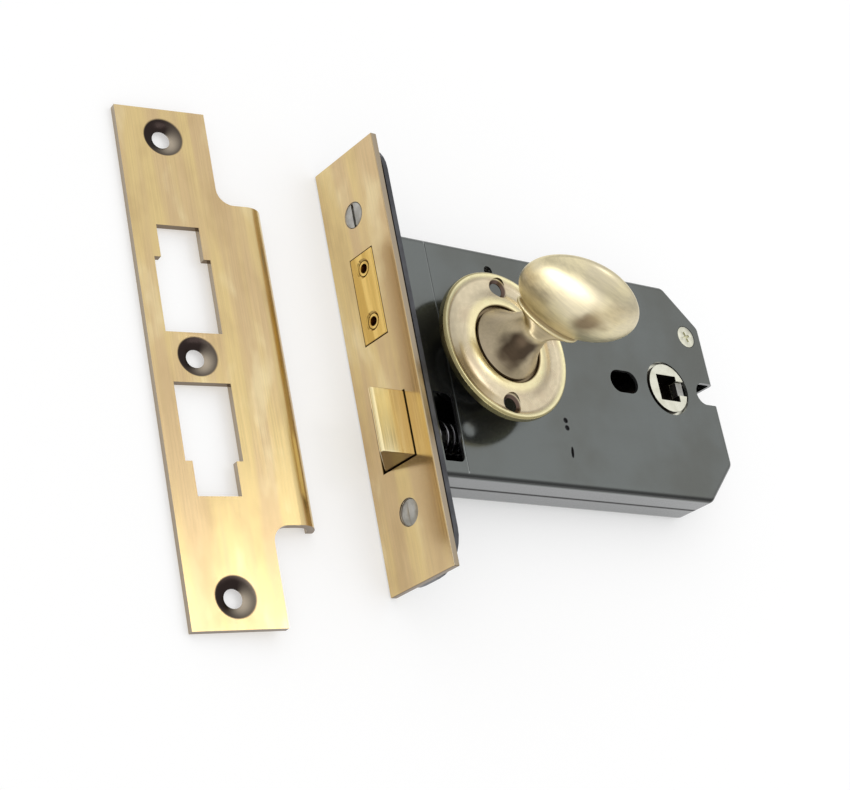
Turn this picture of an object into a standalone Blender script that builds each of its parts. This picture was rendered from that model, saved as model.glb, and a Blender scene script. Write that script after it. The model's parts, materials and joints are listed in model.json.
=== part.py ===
"""Mortice bathroom lock with its turn and strike plate, lying on its side on a table.

Sizes are in millimetres and become metres where a mesh is made. The lock has axes of its own:
x goes into the door from the front of the forend, y runs up the forend, and z is square to the
side of the case. It lies a little tilted, on the back edge of the forend and the rear edge of the
case. The strike plate lies beside it on its long edge and its lip.
"""

import math
from collections import namedtuple

import bmesh
import bpy
from mathutils import Matrix, Vector

MM = 0.001
RIGHT_ANGLE = math.pi / 2

# Clearances, and how far a cutter runs past what it cuts
SLIDE_GAP = 0.3
FIT_GAP = 0.2
REST_GAP = 0.3
PAST = 1.0

# Forend: a brass front plate over a steel inner plate with round corners
FOREND_BEYOND_CASE = 26.5
FOREND_WIDTH = 25.5
FOREND_THICK = 2.0
FOREND_EDGE = 0.25
INNER_SHORT = 0.2
INNER_EXTRA = 0.1
INNER_CORNER = 10.0
INNER_THICK = 1.5
TAB_THICK = 1.3
TAB_REACH = 12.0
TAB_WIDTH = 10.0
WOOD_SCREW_INSET = 8.0
WOOD_SCREW_HOLE_R = 2.4

# Screws that hold the brass plate on the inner plate, the upper one first
FOREND_SCREW_INSET = 18.6
FOREND_SCREW_HEAD_R = 3.45
FOREND_SCREW_SHANK_R = 1.9
FOREND_SCREW_LENGTH = 5.5
FOREND_SCREW_SINKS = (0.12, 0.35)
SLOT_WIDTHS = (0.9, 0.6)
SLOT_DEPTHS = (0.8, 0.25)

# Case: two pressed shells that meet at a seam half way up
CASE_HEIGHT = 69.0
CASE_REAR = 122.5
CASE_THICK = 15.6
CASE_SHEET = 1.0
CASE_BEND = 2.0
CASE_CHAMFER = 12.2
CASE_CORNER = 3.0
SEAM_GAP = 0.3
CREASE_X = 16.2
CREASE_WIDTH = 0.4
CREASE_DEPTH = 0.15

# Window in the upper shell over the latch spring
WINDOW_FRONT = 8.8
WINDOW_REAR = 15.6
WINDOW_PAST_LOW = 1.25
WINDOW_PAST_HIGH = 0.45
WINDOW_CORNER = 1.8
WINDOW_FRONT_CORNER = 0.3

# Bolt-through holes either side of the rear follower
FOLLOWER_X = 101.3
THROUGH_SLOT_X = 83.2
THROUGH_SLOT_LENGTH = 11.0
THROUGH_WIDTH = 7.0
NOTCH_FRONT = 113.8

# Case screw, pillars, guide post and stake marks
CASE_SCREW_X = 115.3
CASE_SCREW_INSET = 16.1
CASE_SCREW_HEAD_R = 3.35
CASE_SCREW_SHANK_R = 1.7
CASE_SCREW_LENGTH = 9.7
CASE_SCREW_SINK = 0.1
CROSS_LENGTH = 3.3
CROSS_WIDTH = 0.75
CROSS_DEPTH = 0.9
CROSS_ANGLE = math.radians(20)
REAR_PILLAR_R = 2.8
REAR_PILLAR_BORE = 11.0
FRONT_PILLAR_X = 38.1
FRONT_PILLAR_INSET = 6.5
FRONT_PILLAR_R = 2.5
FRONT_PILLAR_BORE_R = 1.1
FRONT_PILLAR_BORE = 8.0
FRONT_HOLE_R = 1.5
SPIGOT_R = 1.5
SPIGOT_SINK = 0.1
POST_X = 50.0
POST_R = 2.0
MARK_X = 55.7
MARK_LENGTH = 3.2
MARK_WIDTH = 0.7
MARK_ANGLE = math.radians(80)
MARK_DEPTH = 0.3
MARK_INSET = 10.3
DOT_R = 0.6
DOT_RISES = (7.2, 9.4)

# Deadbolt, with a hollow pin in each of its two holes
DEADBOLT_LOW = 5.7
DEADBOLT_INSET = 3.8
DEADBOLT_WIDTH = 9.3
DEADBOLT_REAR = 23.5
DEADBOLT_PROUD = 0.2
DEADBOLT_EDGE = 0.35
DEADBOLT_SLOT = 6.0
TAIL_THICK = 3.0
TAIL_REAR = 67.0
TAIL_LOW = 5.6
TAIL_INSET = 14.5
TAIL_STEP = 2.0
BOLT_PIN_R = 2.05
BOLT_PIN_LOW = 5.3
BOLT_PIN_HIGH = 4.3
BOLT_PIN_SINK = 0.35
BOLT_PIN_LENGTH = 15.5
BOLT_PIN_BORE_R = 1.3
BOLT_PIN_BORE = 3.0
BOLT_RING_R = 2.7
BOLT_RING_DEPTH = 0.4
TAIL_RIVET_R = 1.6
TAIL_RIVET_X = 20.6
TAIL_RIVET_SINK = 0.1
DETENT_DEPTH = 1.2
DETENT_HALF = 1.6

# Detent leaf, bent round the front pillar and back to the top of the deadbolt's tail
LEAF_THICK = 0.5
LEAF_WIDTH = 2.8
LEAF_HOOK = 1.5
LEAF_BEND_PAST = 5.9
LEAF_DROP = 5.0
LEAF_TIP_R = 1.2

# Turn follower, its finger and the spindle
TURN_X = 28.9
TURN_HUB_R = 5.2
TURN_HUB_SINK = 0.2
TURN_SHOULDER_R = 6.4
TURN_SHOULDER_LOW = 1.9
TURN_SHOULDER_HIGH = 6.4
SPINDLE_SQUARE = 4.9
SPINDLE_TOP = 24.0
SPINDLE_BELOW = 11.2
FINGER_REACH = 8.2
FINGER_TIP_R = 1.7
FINGER_NECK = 2.2
FINGER_REST = math.radians(45)
NOTCH_CLEAR = 0.5

# Turn knob: a boss under the rose, a trumpet stem, an oval lip and a flat oval paddle
KNOB_ANGLE = math.radians(-27.5)
PADDLE_LONG = 16.85
PADDLE_SHORT = 5.3
PADDLE_TALL = 13.5
PADDLE_CENTRE = 46.0
PADDLE_LENS = 1.85
PADDLE_STEPS = 14
LIP_LONG = 10.3
LIP_SHORT = 3.75
LIP_LOW = 33.4
LIP_HIGH = 34.5
LIP_EDGE = 0.3
FLARE_PARTS = (0.35, 0.7)
FLARE_CURVE = 1.5
STEM_BASE_R = 10.2
STEM_BASE_TOP = 18.5
STEM_CURVE = 1.85
STEM_STEPS = 7
NECK_R = 4.9
NECK_Z = 30.6
BOSS_R = 5.9
BOSS_BOTTOM = 11.0
CROSS_PIN_R = 0.8
CROSS_PIN_Z = 12.6
CROSS_PIN_SINK = 0.2

# Circlip and washer that hold the rose on the boss
CLIP_R = 7.9
CLIP_THICK = 0.8
CLIP_TOP = 15.5
CLIP_GROOVE = 0.8
CLIP_OPENING = math.radians(70)
WASHER_R = 9.0
WASHER_THICK = 0.5

# Rose
ROSE_R = 21.2
ROSE_BOTTOM = 15.8
ROSE_RIM_TOP = 18.1
ROSE_RIM_R = 0.8
ROSE_FOOT = 0.2
ROSE_VALLEY_INSET = 4.2
ROSE_VALLEY_TOP = 17.1
ROSE_COLLAR_TOP = 18.7
ROSE_COLLAR_ROUND = 0.8
ROSE_SLOPE_STEPS = 4
ROSE_SHEET = 1.0
ROSE_STEM_GAP = 0.7
ROSE_LEDGE_TOP = 17.4
ROSE_LEDGE_THICK = 0.8
ROSE_SCREW_INSET = 4.2
ROSE_SCREW_ANGLE = math.radians(84)
ROSE_COUNTERSINK_R = 3.0
ROSE_SCREW_HOLE_R = 2.0

# Latch bolt: its bevel runs from a rounded point to just behind the forend's face
LATCH_BELOW_SPINDLE = 11.65
LATCH_INSET = 5.15
LATCH_THICK = 13.2
LATCH_POINT = 11.8
LATCH_NOSE_R = 0.8
LATCH_BEVEL_END = 0.65
LATCH_REAR = 7.5
LATCH_EDGE = 0.3
LATCH_STOP = 0.85
LATCH_STOP_LENGTH = 3.2
LATCH_OPENING = 14.6

# Latch tail: a rod through the spring, then a flat fork round the rear follower
ROD_R = 2.0
ROD_FRONT = 3.0
FORK_DEPTH = 6.0
FORK_THICK = 2.2
FORK_START = 33.0
RISER = 3.0
BRIDGE_FRONT = 62.0
BRIDGE_WIDTH = 4.5
FORK_REAR = 108.5
FORK_INSET = 0.5
PRONG_BELOW = 2.5
PRONG_ABOVE = 3.5
PRONG_HIGH = (10.2, 14.6)
PAD_INNER = 12.5

# Latch spring and its stop
SPRING_R = 4.0
SPRING_WIRE_R = 0.45
SPRING_TURNS = 8
SPRING_STEPS = 12
SPRING_END_TURN = 0.035
STOP_FRONT = 30.0
STOP_THICK = 2.0
STOP_HALF = 6.8
STOP_FOOT_LENGTH = 8.0
STOP_FOOT_THICK = 1.2

# Rear follower: a split hub with a grip piece, a shoulder and two horns
HUB_R = 7.5
HUB_HOLE_R = 8.4
HUB_PROUD = 0.3
HUB_SHOULDER_R = 9.6
HUB_SHOULDER_Z = 6.4
HUB_SQUARE = 8.1
HORN_THICK = 3.0
HORN_WIDTH = 5.0
HORN_LOW = 18.0
HORN_HIGH = 14.2
GRIP_WIDTH = 4.6
GRIP_Y = 0.35
GRIP_DEPTH = 3.0
GRIP_SINK = 0.7

# Strike plate: flat, with stepped windows and a lip that curls down to the table
STRIKE_LENGTH = 141.4
STRIKE_WIDTH = 25.4
STRIKE_THICK = 2.0
STRIKE_LIP_DOWN = 0.4
STRIKE_LIP_INSET = 26.5
STRIKE_LIP_START = 20.7
STRIKE_CURL_R = 6.2
STRIKE_FILLET = 4.5
STRIKE_HOLE_INSET = 8.25
STRIKE_COUNTERSINK_R = 5.75
STRIKE_HOLE_R = 2.5
STRIKE_LAND = 0.3
STRIKE_NARROW = 11.8
STRIKE_WIDE = 15.5
STRIKE_WINDOW_LOW = 6.8
STRIKE_WINDOW_NECK = 9.15
STRIKE_WINDOW_INSET = 7.45
STRIKE_AWAY = 49.4
STRIKE_DOWN = 0.2
STRIKE_YAW = math.radians(0.6)

# Sizes that follow from those above
HALF_HEIGHT = CASE_HEIGHT / 2
FOREND_END = HALF_HEIGHT + FOREND_BEYOND_CASE
WOOD_SCREW_Y = FOREND_END - WOOD_SCREW_INSET
FOREND_SCREW_Y = FOREND_END - FOREND_SCREW_INSET
CASE_SCREW_Y = HALF_HEIGHT - CASE_SCREW_INSET
FRONT_PILLAR_Y = HALF_HEIGHT - FRONT_PILLAR_INSET
MARK_Y = MARK_INSET - HALF_HEIGHT
DEADBOLT_HIGH = HALF_HEIGHT - DEADBOLT_INSET
DEADBOLT_Y = (DEADBOLT_LOW + DEADBOLT_HIGH) / 2
TAIL_HIGH = HALF_HEIGHT - TAIL_INSET
POST_Y = (TAIL_LOW + TAIL_HIGH) / 2
LATCH_LOW = LATCH_INSET - HALF_HEIGHT
LATCH_HIGH = -LATCH_BELOW_SPINDLE
LATCH_Y = (LATCH_LOW + LATCH_HIGH) / 2
STRIKE_END = STRIKE_LENGTH / 2
STRIKE_LIP_Y = -STRIKE_LIP_DOWN
STRIKE_LIP_HALF = STRIKE_END - STRIKE_LIP_INSET
STRIKE_WINDOW_HIGH = STRIKE_LIP_HALF - STRIKE_WINDOW_INSET
STRIKE_WINDOW_STEP = STRIKE_WINDOW_HIGH - STRIKE_WINDOW_NECK
HALF_CASE = CASE_THICK / 2
CAVITY = HALF_CASE - CASE_SHEET
PILLAR_END = CAVITY - REST_GAP
INNER_FRONT = FOREND_THICK + FIT_GAP
INNER_REAR = INNER_FRONT + INNER_THICK
CASE_FRONT = INNER_REAR + FIT_GAP
FINGER_HALF_THROW = FINGER_REACH * math.sin(FINGER_REST)
DEADBOLT_THROW = 2 * FINGER_HALF_THROW
DETENT_XS = (POST_X, POST_X + DEADBOLT_THROW)
CLIP_BOTTOM = CLIP_TOP - CLIP_THICK
HUB_TOP = HALF_CASE + HUB_PROUD

# The table touches the inner plate's back edge and the bend along the rear of the case
BEND_X = CASE_REAR - CASE_BEND - INNER_REAR
BEND_Z = FOREND_WIDTH / 2 - (HALF_CASE - CASE_BEND)
REST_TILT = math.atan2(BEND_Z, BEND_X) - math.asin(CASE_BEND / math.hypot(BEND_X, BEND_Z))
STRIKE_DROP = STRIKE_CURL_R - STRIKE_THICK
STRIKE_TILT = math.atan2(STRIKE_DROP, STRIKE_LIP_START + STRIKE_DROP + STRIKE_WIDTH / 2)

# Colour, metallic value and roughness of each material
BRASS = ((0.62, 0.48, 0.27), 1.0, 0.35)
BOLT_BRASS = ((0.78, 0.60, 0.28), 1.0, 0.2)
BLACK_STEEL = ((0.03, 0.03, 0.032), 0.6, 0.5)
CASE_GREY = ((0.13, 0.14, 0.13), 0.7, 0.42)
ZINC = ((0.62, 0.62, 0.60), 1.0, 0.35)
NICKEL = ((0.80, 0.79, 0.70), 1.0, 0.3)
SPRING_STEEL = ((0.35, 0.35, 0.36), 1.0, 0.3)
NYLON = ((0.75, 0.74, 0.70), 0.0, 0.5)

# A mesh with its place and turn in the axes of the lock, or of the strike plate
Shape = namedtuple("Shape", "mesh place turn")


# Outlines


def arc(centre, radius, first, last, steps):
    """Points along an arc, both ends included."""
    angles = [first + (last - first) * i / steps for i in range(steps + 1)]
    return [(centre[0] + radius * math.cos(a), centre[1] + radius * math.sin(a)) for a in angles]


def rectangle(low, high):
    return [(low[0], low[1]), (high[0], low[1]), (high[0], high[1]), (low[0], high[1])]


def rounded(corners, radii, steps):
    """An outline with each corner replaced by an arc of its own radius, or kept where that is 0."""
    outline = []
    for i, corner in enumerate(corners):
        if radii[i] <= 0:
            outline.append(corner)
            continue
        here = Vector(corner)
        before = (Vector(corners[i - 1]) - here).normalized()
        after = (Vector(corners[(i + 1) % len(corners)]) - here).normalized()
        half = before.angle(after) / 2
        centre = here + (before + after).normalized() * radii[i] / math.sin(half)
        first = here + before * radii[i] / math.tan(half) - centre
        last = here + after * radii[i] / math.tan(half) - centre
        sweep = math.atan2(first.x * last.y - first.y * last.x, first.dot(last))
        start = math.atan2(first.y, first.x)
        outline += arc(centre, radii[i], start, start + sweep, steps)
    return outline


def stadium(low, high, width, steps=8):
    """A slot's outline along x, from low to high, with round ends."""
    radius = width / 2
    right = arc((high - radius, 0), radius, -RIGHT_ANGLE, RIGHT_ANGLE, steps)
    return right + arc((low + radius, 0), radius, RIGHT_ANGLE, 3 * RIGHT_ANGLE, steps)


def ribbon(path, thick):
    """The outline of a strip of even thickness that follows a path."""
    left = []
    right = []
    for i, point in enumerate(path):
        along = Vector(path[min(i + 1, len(path) - 1)]) - Vector(path[max(i - 1, 0)])
        side = Vector((-along.y, along.x)).normalized() * thick / 2
        left.append(tuple(Vector(point) + side))
        right.append(tuple(Vector(point) - side))
    return right + left[::-1]


# Shapes


def tidy(mesh):
    """Welds a mesh, turns its faces outwards and shades it smooth between its sharp edges."""
    form = bmesh.new()
    form.from_mesh(mesh)
    bmesh.ops.remove_doubles(form, verts=form.verts, dist=1e-6)
    bmesh.ops.recalc_face_normals(form, faces=form.faces)
    form.to_mesh(mesh)
    form.free()
    mesh.shade_smooth()
    mesh.set_sharp_from_angle(angle=math.radians(35))
    return mesh


def settle(item):
    """The mesh that a curve, or an object with modifiers, stands for."""
    bpy.context.scene.collection.objects.link(item)
    graph = bpy.context.evaluated_depsgraph_get()
    mesh = bpy.data.meshes.new_from_object(item.evaluated_get(graph))
    bpy.data.objects.remove(item, do_unlink=True)
    return tidy(mesh)


def block(low, high):
    """A box between two corners."""
    size = (Vector(high) - Vector(low)) * MM
    form = bmesh.new()
    bmesh.ops.create_cube(form, size=1, matrix=Matrix.Diagonal((*size, 1)))
    mesh = bpy.data.meshes.new("block")
    form.to_mesh(mesh)
    form.free()
    return Shape(mesh, (Vector(low) + Vector(high)) / 2, (0, 0, 0))


def square_bar(side, low, high, spot):
    half = side / 2
    return block((spot[0] - half, spot[1] - half, low), (spot[0] + half, spot[1] + half, high))


def drum(radius, low, high, spot, steps=24):
    """An upright cylinder."""
    form = bmesh.new()
    bmesh.ops.create_cone(
        form,
        cap_ends=True,
        segments=steps,
        radius1=radius * MM,
        radius2=radius * MM,
        depth=(high - low) * MM,
    )
    mesh = bpy.data.meshes.new("drum")
    form.to_mesh(mesh)
    form.free()
    return Shape(tidy(mesh), (spot[0], spot[1], (low + high) / 2), (0, 0, 0))


def turned(profile, spot, steps=24):
    """A profile of (radius, height), down its outer side, turned about an upright line."""
    mesh = bpy.data.meshes.new("profile")
    points = [(radius * MM, 0, height * MM) for radius, height in profile]
    edges = [(i, i + 1) for i in range(len(points) - 1)]
    if profile[0][0] > 0:
        edges.append((len(points) - 1, 0))
    mesh.from_pydata(points, edges, [])
    item = bpy.data.objects.new("turned", mesh)
    screw = item.modifiers.new("screw", "SCREW")
    screw.steps = steps
    screw.render_steps = steps
    screw.use_merge_vertices = True
    screw.merge_threshold = 1e-6
    return Shape(settle(item), (spot[0], spot[1], 0), (0, 0, 0))


def turned_in(profile, y, z=0.0, steps=24):
    """A profile of (radius, depth), deepest point first, turned about a line along x."""
    shape = turned(profile, (0, 0), steps)
    return Shape(shape.mesh, (0, y, z), (0, RIGHT_ANGLE, 0))


def bar_in(radius, near, far, y, z=0.0, steps=16):
    """A cylinder along x."""
    return turned_in([(0, far), (radius, far), (radius, near), (0, near)], y, z, steps)


def flat(outline, low, high, spot=(0, 0), angle=0.0):
    """An outline in x and y, extruded from low to high."""
    curve = bpy.data.curves.new("outline", "CURVE")
    curve.dimensions = "2D"
    curve.fill_mode = "BOTH"
    curve.extrude = (high - low) / 2 * MM
    spline = curve.splines.new("POLY")
    spline.points.add(len(outline) - 1)
    spline.use_cyclic_u = True
    for point, (x, y) in zip(spline.points, outline):
        point.co = (x * MM, y * MM, 0, 1)
    mesh = settle(bpy.data.objects.new("flat", curve))
    return Shape(mesh, (spot[0], spot[1], (low + high) / 2), (0, 0, angle))


def flat_facing_x(outline, near, far):
    """An outline in y and z, extruded along x."""
    shape = flat(outline, near, far)
    return Shape(shape.mesh, ((near + far) / 2, 0, 0), (RIGHT_ANGLE, 0, RIGHT_ANGLE))


def flat_facing_y(outline, low, high):
    """An outline in x and z, extruded along y."""
    shape = flat(outline, low, high)
    return Shape(shape.mesh, (0, (low + high) / 2, 0), (RIGHT_ANGLE, 0, 0))


def loft(rings, spot, angle):
    """Skins rings of equal length, lowest first, and closes both ends."""
    form = bmesh.new()
    levels = [[form.verts.new(Vector(point) * MM) for point in ring] for ring in rings]
    for low, high in zip(levels, levels[1:]):
        for i, vertex in enumerate(low):
            form.faces.new((low[i - 1], vertex, high[i], high[i - 1]))
    form.faces.new(levels[0][::-1])
    form.faces.new(levels[-1])
    mesh = bpy.data.meshes.new("loft")
    form.to_mesh(mesh)
    form.free()
    return Shape(tidy(mesh), (spot[0], spot[1], 0), (0, 0, angle))


# Objects


def clear_scene():
    for old in list(bpy.data.objects):
        bpy.data.objects.remove(old, do_unlink=True)


def new_collection(name):
    made = bpy.data.collections.new(name)
    bpy.context.scene.collection.children.link(made)
    return made


def empty(name, place, parent=None):
    made = bpy.data.objects.new(name, None)
    made.empty_display_size = ROSE_R * MM
    made.location = Vector(place) * MM
    made.parent = parent
    PARTS.objects.link(made)
    return made


def material(name, look):
    colour, metallic, roughness = look
    made = bpy.data.materials.new(name)
    made.use_nodes = True
    shader = made.node_tree.nodes["Principled BSDF"]
    shader.inputs["Base Color"].default_value = (*colour, 1)
    shader.inputs["Metallic"].default_value = metallic
    shader.inputs["Roughness"].default_value = roughness
    made.diffuse_color = (*colour, 1)
    return made


def put(name, shape, carrier, collection):
    """Links a shape as an object, kept at its own place whichever empty carries it."""
    made = bpy.data.objects.new(name, shape.mesh)
    shift = carrier.location if carrier.parent == lock else Vector((0, 0, 0))
    made.location = Vector(shape.place) * MM - shift
    made.rotation_euler = shape.turn
    made.parent = carrier
    collection.objects.link(made)
    return made


def solid(name, shape, look, carrier):
    shape.mesh.name = name
    made = put(name, shape, carrier, PARTS)
    made.data.materials.clear()
    made.data.materials.append(material(name, look))
    return made


def combine(target, operation, shapes):
    for shape in shapes:
        tool = put(f"{target.name}_{operation.lower()}", shape, target.parent, TOOLS)
        tool.hide_render = True
        tool.display_type = "WIRE"
        boolean = target.modifiers.new(tool.name, "BOOLEAN")
        boolean.operation = operation
        boolean.solver = "EXACT"
        boolean.object = tool


def cut(target, *shapes):
    combine(target, "DIFFERENCE", shapes)


def join(target, *shapes):
    combine(target, "UNION", shapes)


def soften(target, width, segments=1):
    """Rounds every edge sharper than 40 degrees."""
    bevel = target.modifiers.new("edges", "BEVEL")
    bevel.width = width * MM
    bevel.segments = segments
    bevel.limit_method = "ANGLE"
    bevel.angle_limit = math.radians(40)


# Forend


def plate_openings(extra):
    """The holes for the deadbolt and the latch, right through a forend plate."""
    bolt = FIT_GAP + extra
    bolt_z = DEADBOLT_WIDTH / 2 + bolt
    latch = SLIDE_GAP + extra
    latch_z = LATCH_OPENING / 2 + extra
    far = CASE_FRONT + PAST
    return (
        block((-PAST, DEADBOLT_LOW - bolt, -bolt_z), (far, DEADBOLT_HIGH + bolt, bolt_z)),
        block((-PAST, LATCH_LOW - latch, -latch_z), (far, LATCH_HIGH + latch, latch_z)),
    )


def forend_screw_hole(y):
    head = FOREND_SCREW_HEAD_R + FIT_GAP
    shank = FOREND_SCREW_SHANK_R + FIT_GAP
    far = FOREND_SCREW_LENGTH + PAST
    sink = FOREND_SCREW_SINKS[0 if y > 0 else 1]
    cone = sink + head - shank
    profile = [(0, far), (shank, far), (shank, cone), (head, sink), (head, -PAST), (0, -PAST)]
    return turned_in(profile, y)


def forend_screw(number, y):
    near = FOREND_SCREW_SINKS[number - 1]
    cone = near + FOREND_SCREW_HEAD_R - FOREND_SCREW_SHANK_R
    profile = [
        (0, FOREND_SCREW_LENGTH),
        (FOREND_SCREW_SHANK_R, FOREND_SCREW_LENGTH),
        (FOREND_SCREW_SHANK_R, cone),
        (FOREND_SCREW_HEAD_R, near),
        (0, near),
    ]
    screw = solid(f"forend_screw_{number}", turned_in(profile, y), ZINC, lock)
    reach = FOREND_SCREW_HEAD_R + PAST
    half = SLOT_WIDTHS[number - 1] / 2
    far = near + SLOT_DEPTHS[number - 1]
    cut(screw, block((near - PAST, y - reach, -half), (far, y + reach, half)))


def forend():
    half = FOREND_WIDTH / 2
    end = FOREND_END
    plate = solid("forend_plate", block((0, -end, -half), (FOREND_THICK, end, half)), BRASS, lock)
    soften(plate, FOREND_EDGE)
    cut(plate, *plate_openings(0))

    end = FOREND_END - INNER_SHORT
    outline = rounded(rectangle((-end, -half), (end, half)), [INNER_CORNER] * 4, 8)
    inner = solid("forend_inner", flat_facing_x(outline, INNER_FRONT, INNER_REAR), BLACK_STEEL, lock)
    tab_out = HALF_HEIGHT - CASE_SHEET - REST_GAP
    for side in (1, -1):
        low, high = sorted((side * (tab_out - TAB_THICK), side * tab_out))
        near = INNER_FRONT + INNER_THICK / 2
        far = INNER_REAR + TAB_REACH
        join(inner, block((near, low, -TAB_WIDTH / 2), (far, high, TAB_WIDTH / 2)))
        cut(inner, bar_in(WOOD_SCREW_HOLE_R, 0, INNER_REAR + PAST, side * WOOD_SCREW_Y))
    cut(inner, *plate_openings(INNER_EXTRA))

    for number, side in ((1, 1), (2, -1)):
        y = side * FOREND_SCREW_Y
        cut(plate, forend_screw_hole(y))
        cut(inner, forend_screw_hole(y))
        forend_screw(number, y)


# Case


def case_outline():
    half = HALF_HEIGHT
    shoulder = CASE_REAR - CASE_CHAMFER
    corners = [
        (CASE_FRONT, -half),
        (shoulder, -half),
        (CASE_REAR, CASE_CHAMFER - half),
        (CASE_REAR, half - CASE_CHAMFER),
        (shoulder, half),
        (CASE_FRONT, half),
    ]
    return rounded(corners, [0] + [CASE_CORNER] * 4 + [0], 3)


def case_surface():
    """The outside of half the case: a flat side bent down all round, open in front and below."""
    shape = flat(case_outline(), SEAM_GAP / 2, HALF_CASE)
    form = bmesh.new()
    form.from_mesh(shape.mesh)
    bmesh.ops.dissolve_limit(form, angle_limit=0.01, verts=form.verts, edges=form.edges)
    form.normal_update()
    top = max(form.faces, key=lambda face: face.normal.z)
    front = min(form.faces, key=lambda face: face.normal.x)
    rim = [edge for edge in top.edges if edge not in list(front.edges)]
    bmesh.ops.bevel(
        form,
        geom=rim,
        offset=CASE_BEND * MM,
        segments=4,
        profile=0.5,
        affect="EDGES",
        clamp_overlap=False,
    )
    form.normal_update()
    opened = [face for face in form.faces if face.normal.z < -0.9 or face.normal.x < -0.9]
    bmesh.ops.delete(form, geom=opened, context="FACES")
    form.to_mesh(shape.mesh)
    form.free()
    return shape


def case_screw_hole():
    head = CASE_SCREW_HEAD_R + FIT_GAP
    shank = CASE_SCREW_SHANK_R + SLIDE_GAP
    top = HALF_CASE + PAST
    low = HALF_CASE - REAR_PILLAR_BORE
    profile = [(0, top), (head, top), (head, HALF_CASE), (shank, HALF_CASE - head + shank)]
    return turned(profile + [(shank, low), (0, low)], (CASE_SCREW_X, CASE_SCREW_Y))


def case_screw():
    top = HALF_CASE - CASE_SCREW_SINK
    low = top - CASE_SCREW_LENGTH
    cone = top - CASE_SCREW_HEAD_R + CASE_SCREW_SHANK_R
    head = [(0, top), (CASE_SCREW_HEAD_R, top), (CASE_SCREW_SHANK_R, cone)]
    spot = (CASE_SCREW_X, CASE_SCREW_Y)
    shape = turned(head + [(CASE_SCREW_SHANK_R, low), (0, low)], spot)
    screw = solid("case_screw", shape, NICKEL, lock)
    half = CROSS_WIDTH / 2
    reach = CROSS_LENGTH / 2
    outline = []
    for quarter in range(4):
        turn = Matrix.Rotation(quarter * RIGHT_ANGLE, 2)
        for corner in ((reach, -half), (reach, half), (half, half)):
            outline.append(tuple(turn @ Vector(corner)))
    cut(screw, flat(outline, top - CROSS_DEPTH, top + PAST, spot, CROSS_ANGLE))


def through_holes():
    """What goes through both sides of the case: followers, bolt slot and rear notch."""
    low, high = CAVITY - PAST, HALF_CASE + PAST
    half = THROUGH_SLOT_LENGTH / 2
    beyond = CASE_REAR + THROUGH_WIDTH
    return (
        drum(HUB_HOLE_R, low, high, (FOLLOWER_X, 0), 40),
        drum(TURN_HUB_R + SLIDE_GAP, low, high, (TURN_X, 0)),
        flat(stadium(-half, half, THROUGH_WIDTH), low, high, (THROUGH_SLOT_X, 0)),
        flat(stadium(NOTCH_FRONT, beyond, THROUGH_WIDTH), -PAST, high),
    )


def stake_marks():
    top, low = HALF_CASE + PAST, HALF_CASE - MARK_DEPTH
    line = stadium(-MARK_LENGTH / 2, MARK_LENGTH / 2, MARK_WIDTH, 4)
    marks = [flat(line, low, top, (MARK_X, MARK_Y), MARK_ANGLE)]
    return marks + [drum(DOT_R, low, top, (MARK_X, MARK_Y + rise), 10) for rise in DOT_RISES]


def window():
    low = (WINDOW_FRONT, LATCH_LOW - WINDOW_PAST_LOW)
    high = (WINDOW_REAR, LATCH_HIGH + WINDOW_PAST_HIGH)
    radii = [WINDOW_FRONT_CORNER, WINDOW_CORNER, WINDOW_CORNER, WINDOW_FRONT_CORNER]
    return flat(rounded(rectangle(low, high), radii, 4), CAVITY - PAST, HALF_CASE + PAST)


def case_shell(name, turn):
    """A pressed shell, turned over for the lower one, whose holes are placed by mirroring."""
    shape = case_surface()
    if turn:
        shape = under(shape)
    shell = solid(name, shape, CASE_GREY, lock)
    sheet = shell.modifiers.new("sheet", "SOLIDIFY")
    sheet.thickness = CASE_SHEET * MM
    sheet.offset = -1
    sheet.use_even_offset = True
    return shell


def under(shape):
    """The same shape turned half a turn about the x axis."""
    x, y, z = shape.place
    return Shape(shape.mesh, (x, -y, -z), (math.pi, 0, -shape.turn[2]))


def case():
    upper = case_shell("case_upper", False)
    top = HALF_CASE + PAST
    crease_low = (CREASE_X - CREASE_WIDTH / 2, -HALF_HEIGHT, HALF_CASE - CREASE_DEPTH)
    crease = block(crease_low, (CREASE_X + CREASE_WIDTH / 2, HALF_HEIGHT, top))
    peep = drum(FRONT_HOLE_R, CAVITY - PAST, top, (FRONT_PILLAR_X, FRONT_PILLAR_Y), 20)
    cut(upper, crease, *through_holes(), window(), case_screw_hole(), peep, *stake_marks())

    lower = case_shell("case_lower", True)
    cut(lower, *[under(hole) for hole in through_holes()])
    for x, y in ((CASE_SCREW_X, CASE_SCREW_Y), (FRONT_PILLAR_X, FRONT_PILLAR_Y), (POST_X, POST_Y)):
        cut(lower, drum(SPIGOT_R + SLIDE_GAP, -HALF_CASE - PAST, PAST - CAVITY, (x, y), 16))


def pillar(name, x, y, radius):
    """A pillar between the shells, riveted into the lower one by its spigot."""
    foot = SPIGOT_SINK - HALF_CASE
    profile = [(0, PILLAR_END), (radius, PILLAR_END), (radius, -PILLAR_END)]
    profile += [(SPIGOT_R, -PILLAR_END), (SPIGOT_R, foot), (0, foot)]
    return solid(name, turned(profile, (x, y), 24), ZINC, lock)


def pillars():
    rear = pillar("case_pillar_rear", CASE_SCREW_X, CASE_SCREW_Y, REAR_PILLAR_R)
    cut(rear, case_screw_hole())
    front = pillar("case_pillar_front", FRONT_PILLAR_X, FRONT_PILLAR_Y, FRONT_PILLAR_R)
    low = PILLAR_END - FRONT_PILLAR_BORE
    spot = (FRONT_PILLAR_X, FRONT_PILLAR_Y)
    cut(front, drum(FRONT_PILLAR_BORE_R, low, HALF_CASE, spot, 16))
    pillar("tail_guide_post", POST_X, POST_Y, POST_R)


# Deadbolt


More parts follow.
